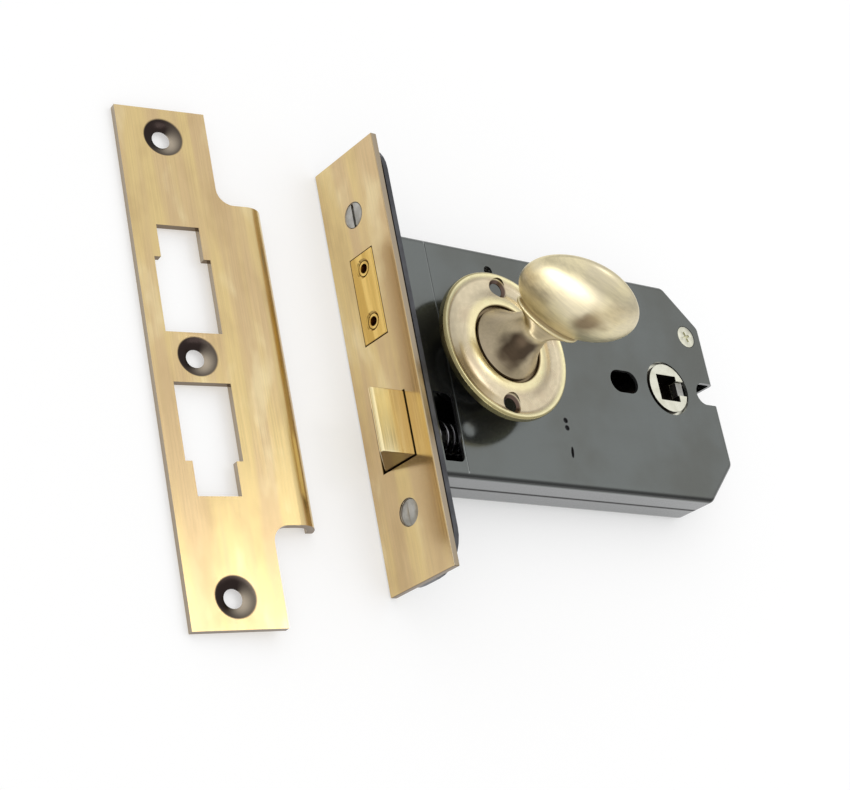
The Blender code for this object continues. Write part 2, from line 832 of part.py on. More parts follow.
def bolt_rivet(radius, sink):
    half = DEADBOLT_WIDTH / 2 - sink
    return drum(radius, -half, half, (TAIL_RIVET_X, (TAIL_LOW + TAIL_STEP + TAIL_HIGH) / 2), 20)


def deadbolt_head():
    face = -DEADBOLT_PROUD
    half = DEADBOLT_WIDTH / 2
    shape = block((face, DEADBOLT_LOW, -half), (DEADBOLT_REAR, DEADBOLT_HIGH, half))
    head = solid("deadbolt_head", shape, BOLT_BRASS, deadbolt_slide)
    soften(head, DEADBOLT_EDGE, 2)
    slot = TAIL_THICK / 2 + SLIDE_GAP
    slot_low = (DEADBOLT_REAR - DEADBOLT_SLOT, DEADBOLT_LOW - PAST, -slot)
    cut(head, block(slot_low, (DEADBOLT_REAR + PAST, TAIL_HIGH + SLIDE_GAP, slot)))
    cut(head, bolt_rivet(TAIL_RIVET_R + FIT_GAP, -PAST))
    near = BOLT_PIN_SINK + face
    far = near + BOLT_PIN_LENGTH
    bore = near + BOLT_PIN_BORE
    hole = BOLT_PIN_R + FIT_GAP
    ring = [(hole, face + BOLT_RING_DEPTH), (BOLT_RING_R, face), (BOLT_RING_R, -PAST), (0, -PAST)]
    pin = [(0, far), (BOLT_PIN_R, far), (BOLT_PIN_R, near), (BOLT_PIN_BORE_R, near)]
    pin += [(BOLT_PIN_BORE_R, bore), (0, bore)]
    for number, y in ((1, DEADBOLT_HIGH - BOLT_PIN_HIGH), (2, DEADBOLT_LOW + BOLT_PIN_LOW)):
        cut(head, turned_in([(0, far + FIT_GAP), (hole, far + FIT_GAP)] + ring, y, steps=18))
        solid(f"deadbolt_pin_{number}", turned_in(pin, y, steps=18), BOLT_BRASS, deadbolt_slide)


def tail_outline():
    """The tail plate: a notch below for the turn's finger and two detent notches above."""
    front = DEADBOLT_REAR - DEADBOLT_SLOT + SLIDE_GAP
    notch = TURN_X + FINGER_HALF_THROW
    half = FINGER_TIP_R + NOTCH_CLEAR
    notch_top = FINGER_REACH + FINGER_TIP_R + SLIDE_GAP
    outline = [
        (front, TAIL_LOW + TAIL_STEP),
        (DEADBOLT_REAR + PAST, TAIL_LOW + TAIL_STEP),
        (DEADBOLT_REAR + PAST + TAIL_STEP, TAIL_LOW),
        (notch - half, TAIL_LOW),
        (notch - half, notch_top),
        (notch + half, notch_top),
        (notch + half, TAIL_LOW),
        (TAIL_REAR, TAIL_LOW),
        (TAIL_REAR, TAIL_HIGH),
    ]
    for x in DETENT_XS[::-1]:
        outline.append((x + DETENT_HALF, TAIL_HIGH))
        outline.append((x, TAIL_HIGH - DETENT_DEPTH))
        outline.append((x - DETENT_HALF, TAIL_HIGH))
    return outline + [(front, TAIL_HIGH)]


def deadbolt_tail():
    half = TAIL_THICK / 2
    shape = flat(tail_outline(), -half, half)
    tail = solid("deadbolt_tail", shape, ZINC, deadbolt_slide)
    guide = POST_R + SLIDE_GAP
    slot = stadium(-guide, DEADBOLT_THROW + guide, 2 * guide)
    cut(tail, flat(slot, -TAIL_THICK, TAIL_THICK, (POST_X, POST_Y)))
    cut(tail, bolt_rivet(TAIL_RIVET_R + FIT_GAP, -PAST))
    solid("deadbolt_rivet", bolt_rivet(TAIL_RIVET_R, TAIL_RIVET_SINK), ZINC, deadbolt_slide)


def detent_leaf():
    """A hairpin leaf: round the front pillar, back along the end wall and down to the tail."""
    gap = SLIDE_GAP + LEAF_THICK / 2
    tip = TAIL_HIGH + gap
    wrap = FRONT_PILLAR_R + gap
    line = FRONT_PILLAR_Y + wrap
    bend = (POST_X + LEAF_BEND_PAST, line - LEAF_DROP / 2)
    path = [(FRONT_PILLAR_X - wrap, FRONT_PILLAR_Y - LEAF_HOOK)]
    path += arc((FRONT_PILLAR_X, FRONT_PILLAR_Y), wrap, math.pi, RIGHT_ANGLE, 6)
    path += arc(bend, LEAF_DROP / 2, RIGHT_ANGLE, -RIGHT_ANGLE, 8)
    path += arc((POST_X, tip + LEAF_TIP_R), LEAF_TIP_R, -RIGHT_ANGLE / 2, -3 * RIGHT_ANGLE / 2, 4)
    path.append((POST_X - 3 * LEAF_TIP_R, tip + 2 * LEAF_TIP_R))
    half = LEAF_WIDTH / 2
    solid("detent_leaf", flat(ribbon(path, LEAF_THICK), -half, half), SPRING_STEEL, lock)


# Bathroom turn


def turn_follower():
    top = HALF_CASE - TURN_HUB_SINK
    upper = [
        (0, top),
        (TURN_HUB_R, top),
        (TURN_HUB_R, TURN_SHOULDER_HIGH),
        (TURN_SHOULDER_R, TURN_SHOULDER_HIGH),
        (TURN_SHOULDER_R, TURN_SHOULDER_LOW),
        (TURN_HUB_R, TURN_SHOULDER_LOW),
    ]
    lower = [(radius, -height) for radius, height in upper[::-1]]
    follower = solid("turn_follower", turned(upper + lower, (TURN_X, 0)), ZINC, turn_axis)
    half = FINGER_NECK / 2
    side = math.pi - math.asin(half / FINGER_TIP_R)
    outline = [(0, -half)] + arc((FINGER_REACH, 0), FINGER_TIP_R, -side, side, 14) + [(0, half)]
    thick = TAIL_THICK / 2
    angle = RIGHT_ANGLE - FINGER_REST
    join(follower, flat(outline, -thick, thick, (TURN_X, 0), angle))
    cut(follower, square_bar(SPINDLE_SQUARE + 2 * FIT_GAP, -HALF_CASE, HALF_CASE, (TURN_X, 0)))


def oval(long, short, z, lens=2.0, steps=28):
    """A ring at one height: an ellipse, or with a lower lens value one with sharper ends."""
    ring = []
    for i in range(steps):
        along, across = math.cos(2 * math.pi * i / steps), math.sin(2 * math.pi * i / steps)
        x = math.copysign(abs(along) ** (2 / lens), along)
        y = math.copysign(abs(across) ** (2 / lens), across)
        ring.append((long * x, short * y, z))
    return ring


def knob_rings():
    """Sections of the knob from the boss up: round, then oval, then the flat oval paddle."""
    flange = ROSE_LEDGE_TOP + SLIDE_GAP
    groove = BOSS_R - CLIP_GROOVE
    turned_part = [
        (BOSS_R, BOSS_BOTTOM),
        (BOSS_R, CLIP_BOTTOM - FIT_GAP),
        (groove, CLIP_BOTTOM - FIT_GAP),
        (groove, CLIP_TOP + FIT_GAP),
        (BOSS_R, CLIP_TOP + FIT_GAP),
        (BOSS_R, flange),
        (STEM_BASE_R, flange),
    ]
    for i in range(STEM_STEPS + 1):
        part = i / STEM_STEPS
        radius = NECK_R + (STEM_BASE_R - NECK_R) * (1 - part) ** STEM_CURVE
        turned_part.append((radius, STEM_BASE_TOP + (NECK_Z - STEM_BASE_TOP) * part))
    rings = [oval(radius, radius, z) for radius, z in turned_part]
    for part in FLARE_PARTS:
        long = NECK_R + (LIP_LONG - NECK_R) * part ** FLARE_CURVE
        short = NECK_R + (LIP_SHORT - NECK_R) * part
        rings.append(oval(long, short, NECK_Z + (LIP_LOW - NECK_Z) * part))
    rings.append(oval(LIP_LONG - LIP_EDGE, LIP_SHORT - LIP_EDGE, LIP_LOW))
    rings.append(oval(LIP_LONG, LIP_SHORT, LIP_LOW + LIP_EDGE))
    rings.append(oval(LIP_LONG, LIP_SHORT, LIP_HIGH - LIP_EDGE))
    rings.append(oval(LIP_LONG - LIP_EDGE, LIP_SHORT - LIP_EDGE, LIP_HIGH))
    start = math.asin((LIP_HIGH + LIP_EDGE - PADDLE_CENTRE) / PADDLE_TALL)
    for i in range(PADDLE_STEPS):
        angle = start + (RIGHT_ANGLE - start) * i / PADDLE_STEPS
        share = math.cos(angle)
        z = PADDLE_CENTRE + PADDLE_TALL * math.sin(angle)
        rings.append(oval(PADDLE_LONG * share, PADDLE_SHORT * share, z, PADDLE_LENS))
    return rings


def turn_knob():
    knob = solid("turn_knob", loft(knob_rings(), (TURN_X, 0), KNOB_ANGLE), BRASS, turn_axis)
    socket = SPINDLE_SQUARE + 2 * FIT_GAP
    cut(knob, square_bar(socket, BOSS_BOTTOM - PAST, SPINDLE_TOP + SLIDE_GAP, (TURN_X, 0)))
    bar = square_bar(SPINDLE_SQUARE, -SPINDLE_BELOW, SPINDLE_TOP, (TURN_X, 0))
    spindle = solid("turn_spindle", bar, ZINC, turn_axis)
    through = BOSS_R + PAST
    for piece in (knob, spindle):
        radius = CROSS_PIN_R + FIT_GAP
        cut(piece, bar_in(radius, TURN_X - through, TURN_X + through, 0, CROSS_PIN_Z))
    reach = BOSS_R - CROSS_PIN_SINK
    pin = bar_in(CROSS_PIN_R, TURN_X - reach, TURN_X + reach, 0, CROSS_PIN_Z)
    solid("spindle_pin", pin, ZINC, turn_axis)


def rose_profile():
    """A dished cover: a soft collar round the stem, a flat ring and a rolled rim."""
    hole = STEM_BASE_R + ROSE_STEM_GAP
    crest = hole + ROSE_COLLAR_ROUND
    valley = ROSE_R - ROSE_VALLEY_INSET
    rim = ROSE_R - ROSE_RIM_R
    under_valley = ROSE_VALLEY_TOP - ROSE_SHEET
    ledge_low = ROSE_LEDGE_TOP - ROSE_LEDGE_THICK
    profile = [(hole, ROSE_LEDGE_TOP)]
    round_spot = (crest, ROSE_COLLAR_TOP - ROSE_COLLAR_ROUND)
    profile += arc(round_spot, ROSE_COLLAR_ROUND, math.pi, RIGHT_ANGLE, 3)
    for i in range(1, ROSE_SLOPE_STEPS + 1):
        part = i / ROSE_SLOPE_STEPS
        drop = (1 - math.cos(math.pi * part)) / 2
        z = ROSE_COLLAR_TOP + (ROSE_VALLEY_TOP - ROSE_COLLAR_TOP) * drop
        profile.append((crest + (valley - crest) * part, z))
    profile.append((rim - ROSE_RIM_R - ROSE_FOOT, ROSE_VALLEY_TOP))
    profile += arc((rim, ROSE_RIM_TOP - ROSE_RIM_R), ROSE_RIM_R, math.pi, 0, 5)
    return profile + [
        (ROSE_R, ROSE_BOTTOM),
        (ROSE_R - ROSE_SHEET, ROSE_BOTTOM),
        (ROSE_R - ROSE_SHEET, under_valley),
        (valley - ROSE_SHEET, under_valley),
        (hole + ROSE_SHEET, ledge_low),
        (BOSS_R + SLIDE_GAP, ledge_low),
        (BOSS_R + SLIDE_GAP, ROSE_LEDGE_TOP),
    ]


def rose():
    cover = solid("turn_rose", turned(rose_profile(), (TURN_X, 0), 46), BRASS, lock)
    low = ROSE_BOTTOM - PAST
    sheet = ROSE_VALLEY_TOP - ROSE_SHEET + FIT_GAP
    spot_r = ROSE_R - ROSE_SCREW_INSET
    profile = [
        (0, ROSE_COLLAR_TOP),
        (ROSE_COUNTERSINK_R, ROSE_COLLAR_TOP),
        (ROSE_COUNTERSINK_R, ROSE_VALLEY_TOP),
        (ROSE_SCREW_HOLE_R, sheet),
        (ROSE_SCREW_HOLE_R, low),
        (0, low),
    ]
    for turn in (ROSE_SCREW_ANGLE, ROSE_SCREW_ANGLE + math.pi):
        spot = (TURN_X + spot_r * math.cos(turn), spot_r * math.sin(turn))
        cut(cover, turned(profile, spot, 20))


def rose_fixings():
    groove = BOSS_R - CLIP_GROOVE + FIT_GAP
    half = math.pi - CLIP_OPENING / 2
    outline = arc((0, 0), CLIP_R, -half, half, 28) + arc((0, 0), groove, half, -half, 28)
    clip = flat(outline, CLIP_BOTTOM, CLIP_TOP, (TURN_X, 0))
    solid("turn_circlip", clip, SPRING_STEEL, turn_axis)
    low = CLIP_TOP + FIT_GAP
    high = low + WASHER_THICK
    inner = BOSS_R + SLIDE_GAP
    profile = [(inner, high), (WASHER_R, high), (WASHER_R, low), (inner, low)]
    solid("turn_washer", turned(profile, (TURN_X, 0)), NYLON, lock)


# Latch


def latch_outline():
    """The latch from its end: flat on its upper side, bevelled from below to a rounded point."""
    half = LATCH_THICK / 2
    corners = [(LATCH_REAR, -half), (LATCH_REAR, half), (-LATCH_POINT, half), (LATCH_BEVEL_END, -half)]
    return rounded(corners, [0, 0, LATCH_NOSE_R, 0], 6)


def latch_head():
    outline = latch_outline()
    shape = flat_facing_y(outline, LATCH_LOW, LATCH_HIGH)
    head = solid("latch_head", shape, BOLT_BRASS, latch_slide)
    soften(head, LATCH_EDGE)
    inside = LATCH_THICK / 2 - LATCH_EDGE - INNER_EXTRA
    rear = LATCH_REAR - LATCH_EDGE - INNER_EXTRA
    stop_low = (LATCH_REAR - LATCH_STOP_LENGTH, LATCH_LOW - LATCH_STOP, -inside)
    join(head, block(stop_low, (rear, LATCH_HIGH + LATCH_STOP, inside)))
    cut(head, bar_in(ROD_R + FIT_GAP, ROD_FRONT - FIT_GAP, LATCH_REAR + PAST, LATCH_Y, steps=24))


def latch_tail():
    inset = FORK_INSET
    base = -FORK_DEPTH
    top = base + FORK_THICK
    bridge_rear = BRIDGE_FRONT + BRIDGE_WIDTH
    pad_front = FOLLOWER_X + HORN_WIDTH / 2 + SLIDE_GAP
    pad_base = top - inset
    pad_top = HORN_THICK / 2
    low, high = LATCH_Y - PRONG_BELOW, LATCH_Y + PRONG_ABOVE
    upper_low, upper_high = PRONG_HIGH
    strip = block((FORK_START, low, base), (FORK_REAR, high, top))
    tail = solid("latch_tail", strip, ZINC, latch_slide)
    riser_low = (FORK_START, low + inset, base + inset)
    join(
        tail,
        block((BRIDGE_FRONT, low + inset, base), (bridge_rear, upper_high, top)),
        block((BRIDGE_FRONT + inset, upper_low, base), (FORK_REAR, upper_high, top)),
        block(riser_low, (FORK_START + RISER, high - inset, ROD_R + inset)),
        bar_in(ROD_R, ROD_FRONT, FORK_START + RISER / 2, LATCH_Y),
        block((pad_front, low, pad_base), (FORK_REAR, -PAD_INNER, pad_top)),
        block((pad_front, upper_low, pad_base), (FORK_REAR, upper_high, pad_top)),
    )


def latch_spring():
    """A coil along x between the latch and its stop, with its end turns drawn together."""
    near = LATCH_REAR + REST_GAP + SPRING_WIRE_R
    far = STOP_FRONT - REST_GAP - SPRING_WIRE_R
    count = SPRING_TURNS * SPRING_STEPS
    curve = bpy.data.curves.new("spring", "CURVE")
    curve.dimensions = "3D"
    curve.bevel_depth = SPRING_WIRE_R * MM
    curve.bevel_resolution = 2
    curve.use_fill_caps = True
    spline = curve.splines.new("POLY")
    spline.points.add(count)
    for i, point in enumerate(spline.points):
        part = i / count
        eased = part + SPRING_END_TURN * math.sin(2 * math.pi * part)
        angle = 2 * math.pi * i / SPRING_STEPS
        x = near + (far - near) * eased
        y = SPRING_R * math.cos(angle)
        z = SPRING_R * math.sin(angle)
        point.co = (x * MM, y * MM, z * MM, 1)
    mesh = settle(bpy.data.objects.new("spring", curve))
    solid("latch_spring", Shape(mesh, (0, LATCH_Y, 0), (0, 0, 0)), SPRING_STEEL, lock)


def spring_stop():
    rear = STOP_FRONT + STOP_THICK
    low = LATCH_Y - STOP_HALF
    wall = block((STOP_FRONT, low, -PILLAR_END), (rear, LATCH_Y + STOP_HALF, PILLAR_END))
    stop = solid("spring_stop", wall, ZINC, lock)
    foot_top = STOP_FOOT_THICK - PILLAR_END
    foot_high = LATCH_Y - PRONG_BELOW - SLIDE_GAP
    foot_rear = STOP_FRONT + STOP_FOOT_LENGTH
    join(stop, block((STOP_FRONT, low, -PILLAR_END), (foot_rear, foot_high, foot_top)))
    cut(stop, bar_in(ROD_R + SLIDE_GAP, STOP_FRONT - PAST, rear + PAST, LATCH_Y, steps=24))


# Rear follower


def rear_follower():
    spot = (FOLLOWER_X, 0)
    upper = [
        (0, HUB_TOP),
        (HUB_R, HUB_TOP),
        (HUB_R, HUB_SHOULDER_Z),
        (HUB_SHOULDER_R, HUB_SHOULDER_Z),
    ]
    lower = [(radius, -height) for radius, height in upper[::-1]]
    hub = solid("follower_hub", turned(upper + lower, spot, 40), NICKEL, follower_turn)
    half = HORN_WIDTH / 2
    thick = HORN_THICK / 2
    left, right = FOLLOWER_X - half, FOLLOWER_X + half
    join(
        hub,
        block((left, -HORN_LOW, -thick), (right, -HUB_R, thick)),
        block((left, HUB_R, -thick), (right, HORN_HIGH, thick)),
    )
    cut(hub, square_bar(HUB_SQUARE, -HUB_TOP - PAST, HUB_TOP + PAST, spot))
    low = GRIP_Y - GRIP_WIDTH / 2
    high = GRIP_Y + GRIP_WIDTH / 2
    floor = HUB_TOP - GRIP_DEPTH
    near = FOLLOWER_X + HUB_SQUARE / 2
    edge = FOLLOWER_X + HUB_SHOULDER_R + PAST
    cut(hub, block((near - PAST, low, floor), (edge, high, HUB_TOP + PAST)))
    far = FOLLOWER_X + HUB_R - GRIP_SINK
    grip = block(
        (near + FIT_GAP, low + FIT_GAP, floor + SLIDE_GAP), (far, high - FIT_GAP, HUB_TOP - GRIP_SINK)
    )
    solid("follower_grip", grip, ZINC, follower_turn)


# Strike plate, in axes of its own: x across, y along, and z = 0 on its top face


def strike_outline():
    """The flat plate, with a fillet where each end of the lip leaves its right edge."""
    half = STRIKE_WIDTH / 2
    end = STRIKE_END
    low = STRIKE_LIP_Y - STRIKE_LIP_HALF
    high = STRIKE_LIP_Y + STRIKE_LIP_HALF
    spot = half + STRIKE_FILLET
    outline = [(-half, -end), (half, -end)]
    outline += arc((spot, low - STRIKE_FILLET), STRIKE_FILLET, math.pi, RIGHT_ANGLE, 6)
    outline += [(STRIKE_LIP_START, low), (STRIKE_LIP_START, high)]
    outline += arc((spot, high + STRIKE_FILLET), STRIKE_FILLET, -RIGHT_ANGLE, -math.pi, 6)
    return outline + [(half, end), (-half, end)]


def strike_curl():
    """The quarter round at the edge of the lip, down to the table."""
    centre = (STRIKE_LIP_START, -STRIKE_CURL_R)
    overlap = STRIKE_LIP_START - PAST
    outline = [(overlap, -STRIKE_THICK)]
    outline += arc(centre, STRIKE_CURL_R - STRIKE_THICK, RIGHT_ANGLE, 0, 8)
    outline += arc(centre, STRIKE_CURL_R, 0, RIGHT_ANGLE, 8)
    outline.append((overlap, 0))
    low = STRIKE_LIP_Y - STRIKE_LIP_HALF
    return flat_facing_y(outline, low, STRIKE_LIP_Y + STRIKE_LIP_HALF)


def strike_plate():
    shape = flat(strike_outline(), -STRIKE_THICK, 0)
    plate = solid("strike_plate", shape, BRASS, strike_frame)
    join(plate, strike_curl())
    through = -STRIKE_THICK - PAST
    steps = (
        (STRIKE_WIDE / 2, STRIKE_WINDOW_LOW, STRIKE_WINDOW_STEP),
        (STRIKE_NARROW / 2, STRIKE_WINDOW_STEP - PAST, STRIKE_WINDOW_HIGH),
    )
    for side in (1, -1):
        for half, first, last in steps:
            low, high = sorted((STRIKE_LIP_Y + side * first, STRIKE_LIP_Y + side * last))
            cut(plate, block((-half, low, through), (half, high, PAST)))
    land = STRIKE_LAND - STRIKE_THICK
    profile = [
        (0, PAST),
        (STRIKE_COUNTERSINK_R, PAST),
        (STRIKE_COUNTERSINK_R, 0),
        (STRIKE_HOLE_R, land),
        (STRIKE_HOLE_R, through),
        (0, through),
    ]
    end_hole = STRIKE_END - STRIKE_HOLE_INSET
    for y in (-end_hole, 0, end_hole):
        cut(plate, turned(profile, (0, y)))
    return plate


# Rest on the table


def bounds(items):
    bpy.context.view_layer.update()
    graph = bpy.context.evaluated_depsgraph_get()
    points = []
    for item in items:
        solid_form = item.evaluated_get(graph)
        mesh = solid_form.to_mesh()
        points += [solid_form.matrix_world @ vertex.co for vertex in mesh.vertices]
        solid_form.to_mesh_clear()
    low = [min(point[i] for point in points) for i in range(3)]
    high = [max(point[i] for point in points) for i in range(3)]
    return Vector(low), Vector(high)


def rest_on_table(strike):
    """Lowers lock and strike plate onto z = 0 and centres the whole over the origin."""
    pieces = [item for item in PARTS.objects if item.type == "MESH"]
    lock.location.z -= bounds([item for item in pieces if item != strike])[0].z
    strike_frame.location.z -= bounds([strike])[0].z
    low, high = bounds(pieces)
    row.location.x = -(low.x + high.x) / 2
    row.location.y = -(low.y + high.y) / 2
    bpy.context.view_layer.update()


clear_scene()
PARTS = new_collection("mortice_bathroom_lock")
TOOLS = new_collection("cutters")
TOOLS.hide_render = True

row = empty("row", (0, 0, 0))
lock = empty("lock", (0, 0, 0), row)
lock.rotation_euler = (0, REST_TILT, 0)
latch_slide = empty("latch_slide", (0, LATCH_Y, 0), lock)
follower_turn = empty("follower_turn", (FOLLOWER_X, 0, 0), lock)
deadbolt_slide = empty("deadbolt_slide", (0, DEADBOLT_Y, 0), lock)
turn_axis = empty("turn_axis", (TURN_X, 0, 0), lock)
strike_frame = empty("strike_frame", (-STRIKE_AWAY, -STRIKE_DOWN, 0), row)
strike_frame.rotation_euler = (0, -STRIKE_TILT, STRIKE_YAW)

forend()
case()
pillars()
case_screw()
deadbolt_head()
deadbolt_tail()
detent_leaf()
turn_follower()
turn_knob()
rose()
rose_fixings()
latch_head()
latch_tail()
latch_spring()
spring_stop()
rear_follower()
rest_on_table(strike_plate())
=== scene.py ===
"""Looks of the mortice bathroom lock: finishes, fine pieces, floor, light and camera.

Sizes of shapes are in millimetres, in the axes of the lock: x goes into the door from the front
of the forend, y runs up the forend, and z is square to the side of the case. The strike plate has
axes of its own. Both are then set where the frame says they lie.
"""

import json
import math

import bmesh
import bpy
from mathutils import Matrix, Vector


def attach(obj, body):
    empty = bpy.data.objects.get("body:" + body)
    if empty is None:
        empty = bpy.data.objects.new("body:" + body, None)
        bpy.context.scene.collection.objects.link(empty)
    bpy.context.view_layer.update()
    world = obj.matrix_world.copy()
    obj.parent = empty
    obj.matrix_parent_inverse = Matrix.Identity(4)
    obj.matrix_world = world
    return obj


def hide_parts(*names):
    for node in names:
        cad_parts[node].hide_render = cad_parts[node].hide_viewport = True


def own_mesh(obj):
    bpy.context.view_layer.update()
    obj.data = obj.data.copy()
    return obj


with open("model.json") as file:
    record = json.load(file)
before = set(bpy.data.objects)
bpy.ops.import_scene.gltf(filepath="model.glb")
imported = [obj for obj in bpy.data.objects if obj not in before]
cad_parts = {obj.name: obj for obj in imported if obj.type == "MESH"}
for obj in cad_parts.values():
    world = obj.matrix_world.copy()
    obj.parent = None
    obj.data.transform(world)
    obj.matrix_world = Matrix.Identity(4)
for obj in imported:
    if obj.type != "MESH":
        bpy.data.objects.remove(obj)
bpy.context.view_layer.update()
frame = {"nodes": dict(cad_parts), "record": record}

MM = 0.001
RIGHT_ANGLE = math.pi / 2

# Camera, as the photograph was taken, for a picture of 850 by 790
CAMERA_PLACE = Vector((-0.3231, -0.1903, 0.3688))
CAMERA_TARGET = Vector((-0.0233, -0.0124, 0.0200))
CAMERA_ROLL = math.radians(56.24)
FOCAL_PIXELS = 1919.6
PICTURE_WIDTH = 850
SENSOR_WIDTH = 36.0

# Axes of the lock and of its strike plate
TURN_X = 28.9
STRIKE_END = 70.7
joints = {joint["name"]: joint for joint in frame["record"]["behaviour"]["joints"]}
mounts = {mount["name"]: mount for mount in frame["record"]["mounts"]}
turn_axis = Vector(joints["turn_rotate"]["axis"])
LOCK_TILT = math.atan2(turn_axis.x, turn_axis.z)
LOCK_TURN = Matrix.Rotation(LOCK_TILT, 4, "Y")
LOCK_ORIGIN = Vector(joints["turn_rotate"]["pos_m"]) - LOCK_TURN @ Vector((TURN_X * MM, 0, 0))
LOCK = Matrix.Translation(LOCK_ORIGIN) @ LOCK_TURN

# The strike plate's own axes come from the mount on its back, 10 mm from its middle line
STRIKE_THICK = 2.0
STRIKE_MOUNT_X = 10.0
strike_down = Vector(mounts["strike_back"]["axis"])
STRIKE_YAW = math.atan2(strike_down.y, strike_down.x)
STRIKE_TILT = math.acos(-strike_down.z)
STRIKE_TURN = Matrix.Rotation(STRIKE_YAW, 4, "Z") @ Matrix.Rotation(-STRIKE_TILT, 4, "Y")
STRIKE_SPOT = STRIKE_TURN @ Vector((STRIKE_MOUNT_X * MM, 0, -STRIKE_THICK * MM))
STRIKE_ORIGIN = Vector(mounts["strike_back"]["pos_m"]) - STRIKE_SPOT
STRIKE = Matrix.Translation(STRIKE_ORIGIN) @ STRIKE_TURN

# Gaps between pieces, how far a cutter runs past what it cuts, and the angle of a sharp edge
SLIDE_GAP = 0.3
FIT_GAP = 0.2
PAST = 1.0
SHARP_ANGLE = math.radians(35)

# Below this, a part of a face's normal means that the face looks straight back along an axis
STRAIGHT_BACK = -0.9

# Case
HALF_HEIGHT = 34.5
CASE_FRONT = 3.9
CASE_REAR = 122.5
HALF_CASE = 7.8
CASE_SHEET = 1.0
CASE_BEND = 2.0
CASE_CHAMFER = 12.2
CASE_CORNER = 3.0
CASE_HOLE_EDGE = 0.12
SEAM_GAP = 0.3
CREASE_X = 16.2
CREASE_WIDTH = 0.4
CREASE_DEPTH = 0.15
WINDOW_LOW = (8.8, -30.6)
WINDOW_HIGH = (15.6, -11.2)
WINDOW_CORNER = 1.8
WINDOW_FRONT_CORNER = 0.3
FOLLOWER_X = 101.3
HUB_HOLE_R = 8.4
TURN_HOLE_R = 5.5
THROUGH_SLOT_X = 83.2
THROUGH_SLOT_LENGTH = 11.0
THROUGH_WIDTH = 7.0
NOTCH_FRONT = 113.8
FRONT_HOLE = (38.1, 28.0)
FRONT_HOLE_R = 1.5
MARK_X = 55.7
MARK_Y = -24.2
MARK_LENGTH = 3.2
MARK_WIDTH = 0.7
MARK_ANGLE = math.radians(80)
MARK_DEPTH = 0.3
DOT_R = 0.6
DOT_RISES = (7.2, 9.4)

# Screws
CASE_SCREW = (115.3, 18.4)
CASE_SCREW_HEAD_R = 3.35
CASE_SCREW_SHANK_R = 1.7
CASE_SCREW_LENGTH = 9.7
CASE_SCREW_SINK = 0.1
CROSS_LENGTH = 3.3
CROSS_WIDTH = 0.75
CROSS_DEPTH = 0.9
CROSS_ANGLE = math.radians(20)
FOREND_SCREW_Y = 42.4
FOREND_SCREW_HEAD_R = 3.45
FOREND_SCREW_SHANK_R = 1.9
FOREND_SCREW_LENGTH = 5.5
FOREND_SCREW_SINKS = (0.12, 0.35)
SLOT_WIDTHS = (0.9, 0.6)
SLOT_DEPTHS = (0.8, 0.05)
SCREW_EDGE = 0.1

# Forend plate
FOREND_END = 61.0
FOREND_WIDTH = 25.5
FOREND_THICK = 2.0
FOREND_EDGE = 0.3
OPENING_EDGE = 0.08

# Deadbolt
DEADBOLT_LOW = 5.7
DEADBOLT_HIGH = 30.7
DEADBOLT_WIDTH = 9.3
DEADBOLT_REAR = 23.5
DEADBOLT_PROUD = 0.2
DEADBOLT_EDGE = 0.35
DEADBOLT_SLOT = 6.0
TAIL_THICK = 3.0
TAIL_LOW = 5.6
TAIL_HIGH = 20.0
TAIL_STEP = 2.0
TAIL_RIVET_X = 20.6
TAIL_RIVET_R = 1.6
BOLT_PIN_YS = (26.4, 11.0)
BOLT_PIN_R = 2.05
BOLT_PIN_SINK = 0.35
BOLT_PIN_LENGTH = 15.5
BOLT_PIN_BORE_R = 1.3
BOLT_PIN_BORE = 3.0
BOLT_RING_R = 2.7
BOLT_RING_DEPTH = 0.4

# Latch head, its opening and its spring
LATCH_LOW = -29.35
LATCH_HIGH = -11.65
LATCH_Y = (LATCH_LOW + LATCH_HIGH) / 2
LATCH_THICK = 13.2
LATCH_POINT = 11.8
LATCH_NOSE_R = 0.8
LATCH_BEVEL_END = 0.65
LATCH_REAR = 7.5
LATCH_EDGE = 0.3
LATCH_STOP = 0.85
LATCH_STOP_LENGTH = 3.2
LATCH_OPENING = 13.9
ROD_R = 2.0
ROD_FRONT = 3.0
SPRING_NEAR = 7.8
SPRING_FAR = 29.7
SPRING_R = 4.0
SPRING_WIRE_R = 0.45
SPRING_TURNS = 8
SPRING_END_TURN = 0.035

# Turn knob
KNOB_ANGLE = math.radians(-27.5)
PADDLE_LONG = 16.85
PADDLE_SHORT = 5.3
PADDLE_TALL = 13.5
PADDLE_CENTRE = 46.0
PADDLE_LENS = 1.85
LIP_LONG = 10.3
LIP_SHORT = 3.75
LIP_LOW = 33.4
LIP_HIGH = 34.5
LIP_EDGE = 0.3
FLARE_CURVE = 1.5
STEM_BASE_R = 10.2
STEM_BASE_TOP = 18.5
STEM_EDGE = 0.35
STEM_CURVE = 1.85
NECK_R = 4.9
NECK_Z = 30.6
BOSS_R = 5.9
BOSS_BOTTOM = 11.0
FLANGE_Z = 17.7
GROOVE_R = 5.1
GROOVE_LOW = 14.5
GROOVE_HIGH = 15.7
SPINDLE_SQUARE = 4.9
SPINDLE_TOP = 24.0
CROSS_PIN_R = 0.8
CROSS_PIN_Z = 12.6

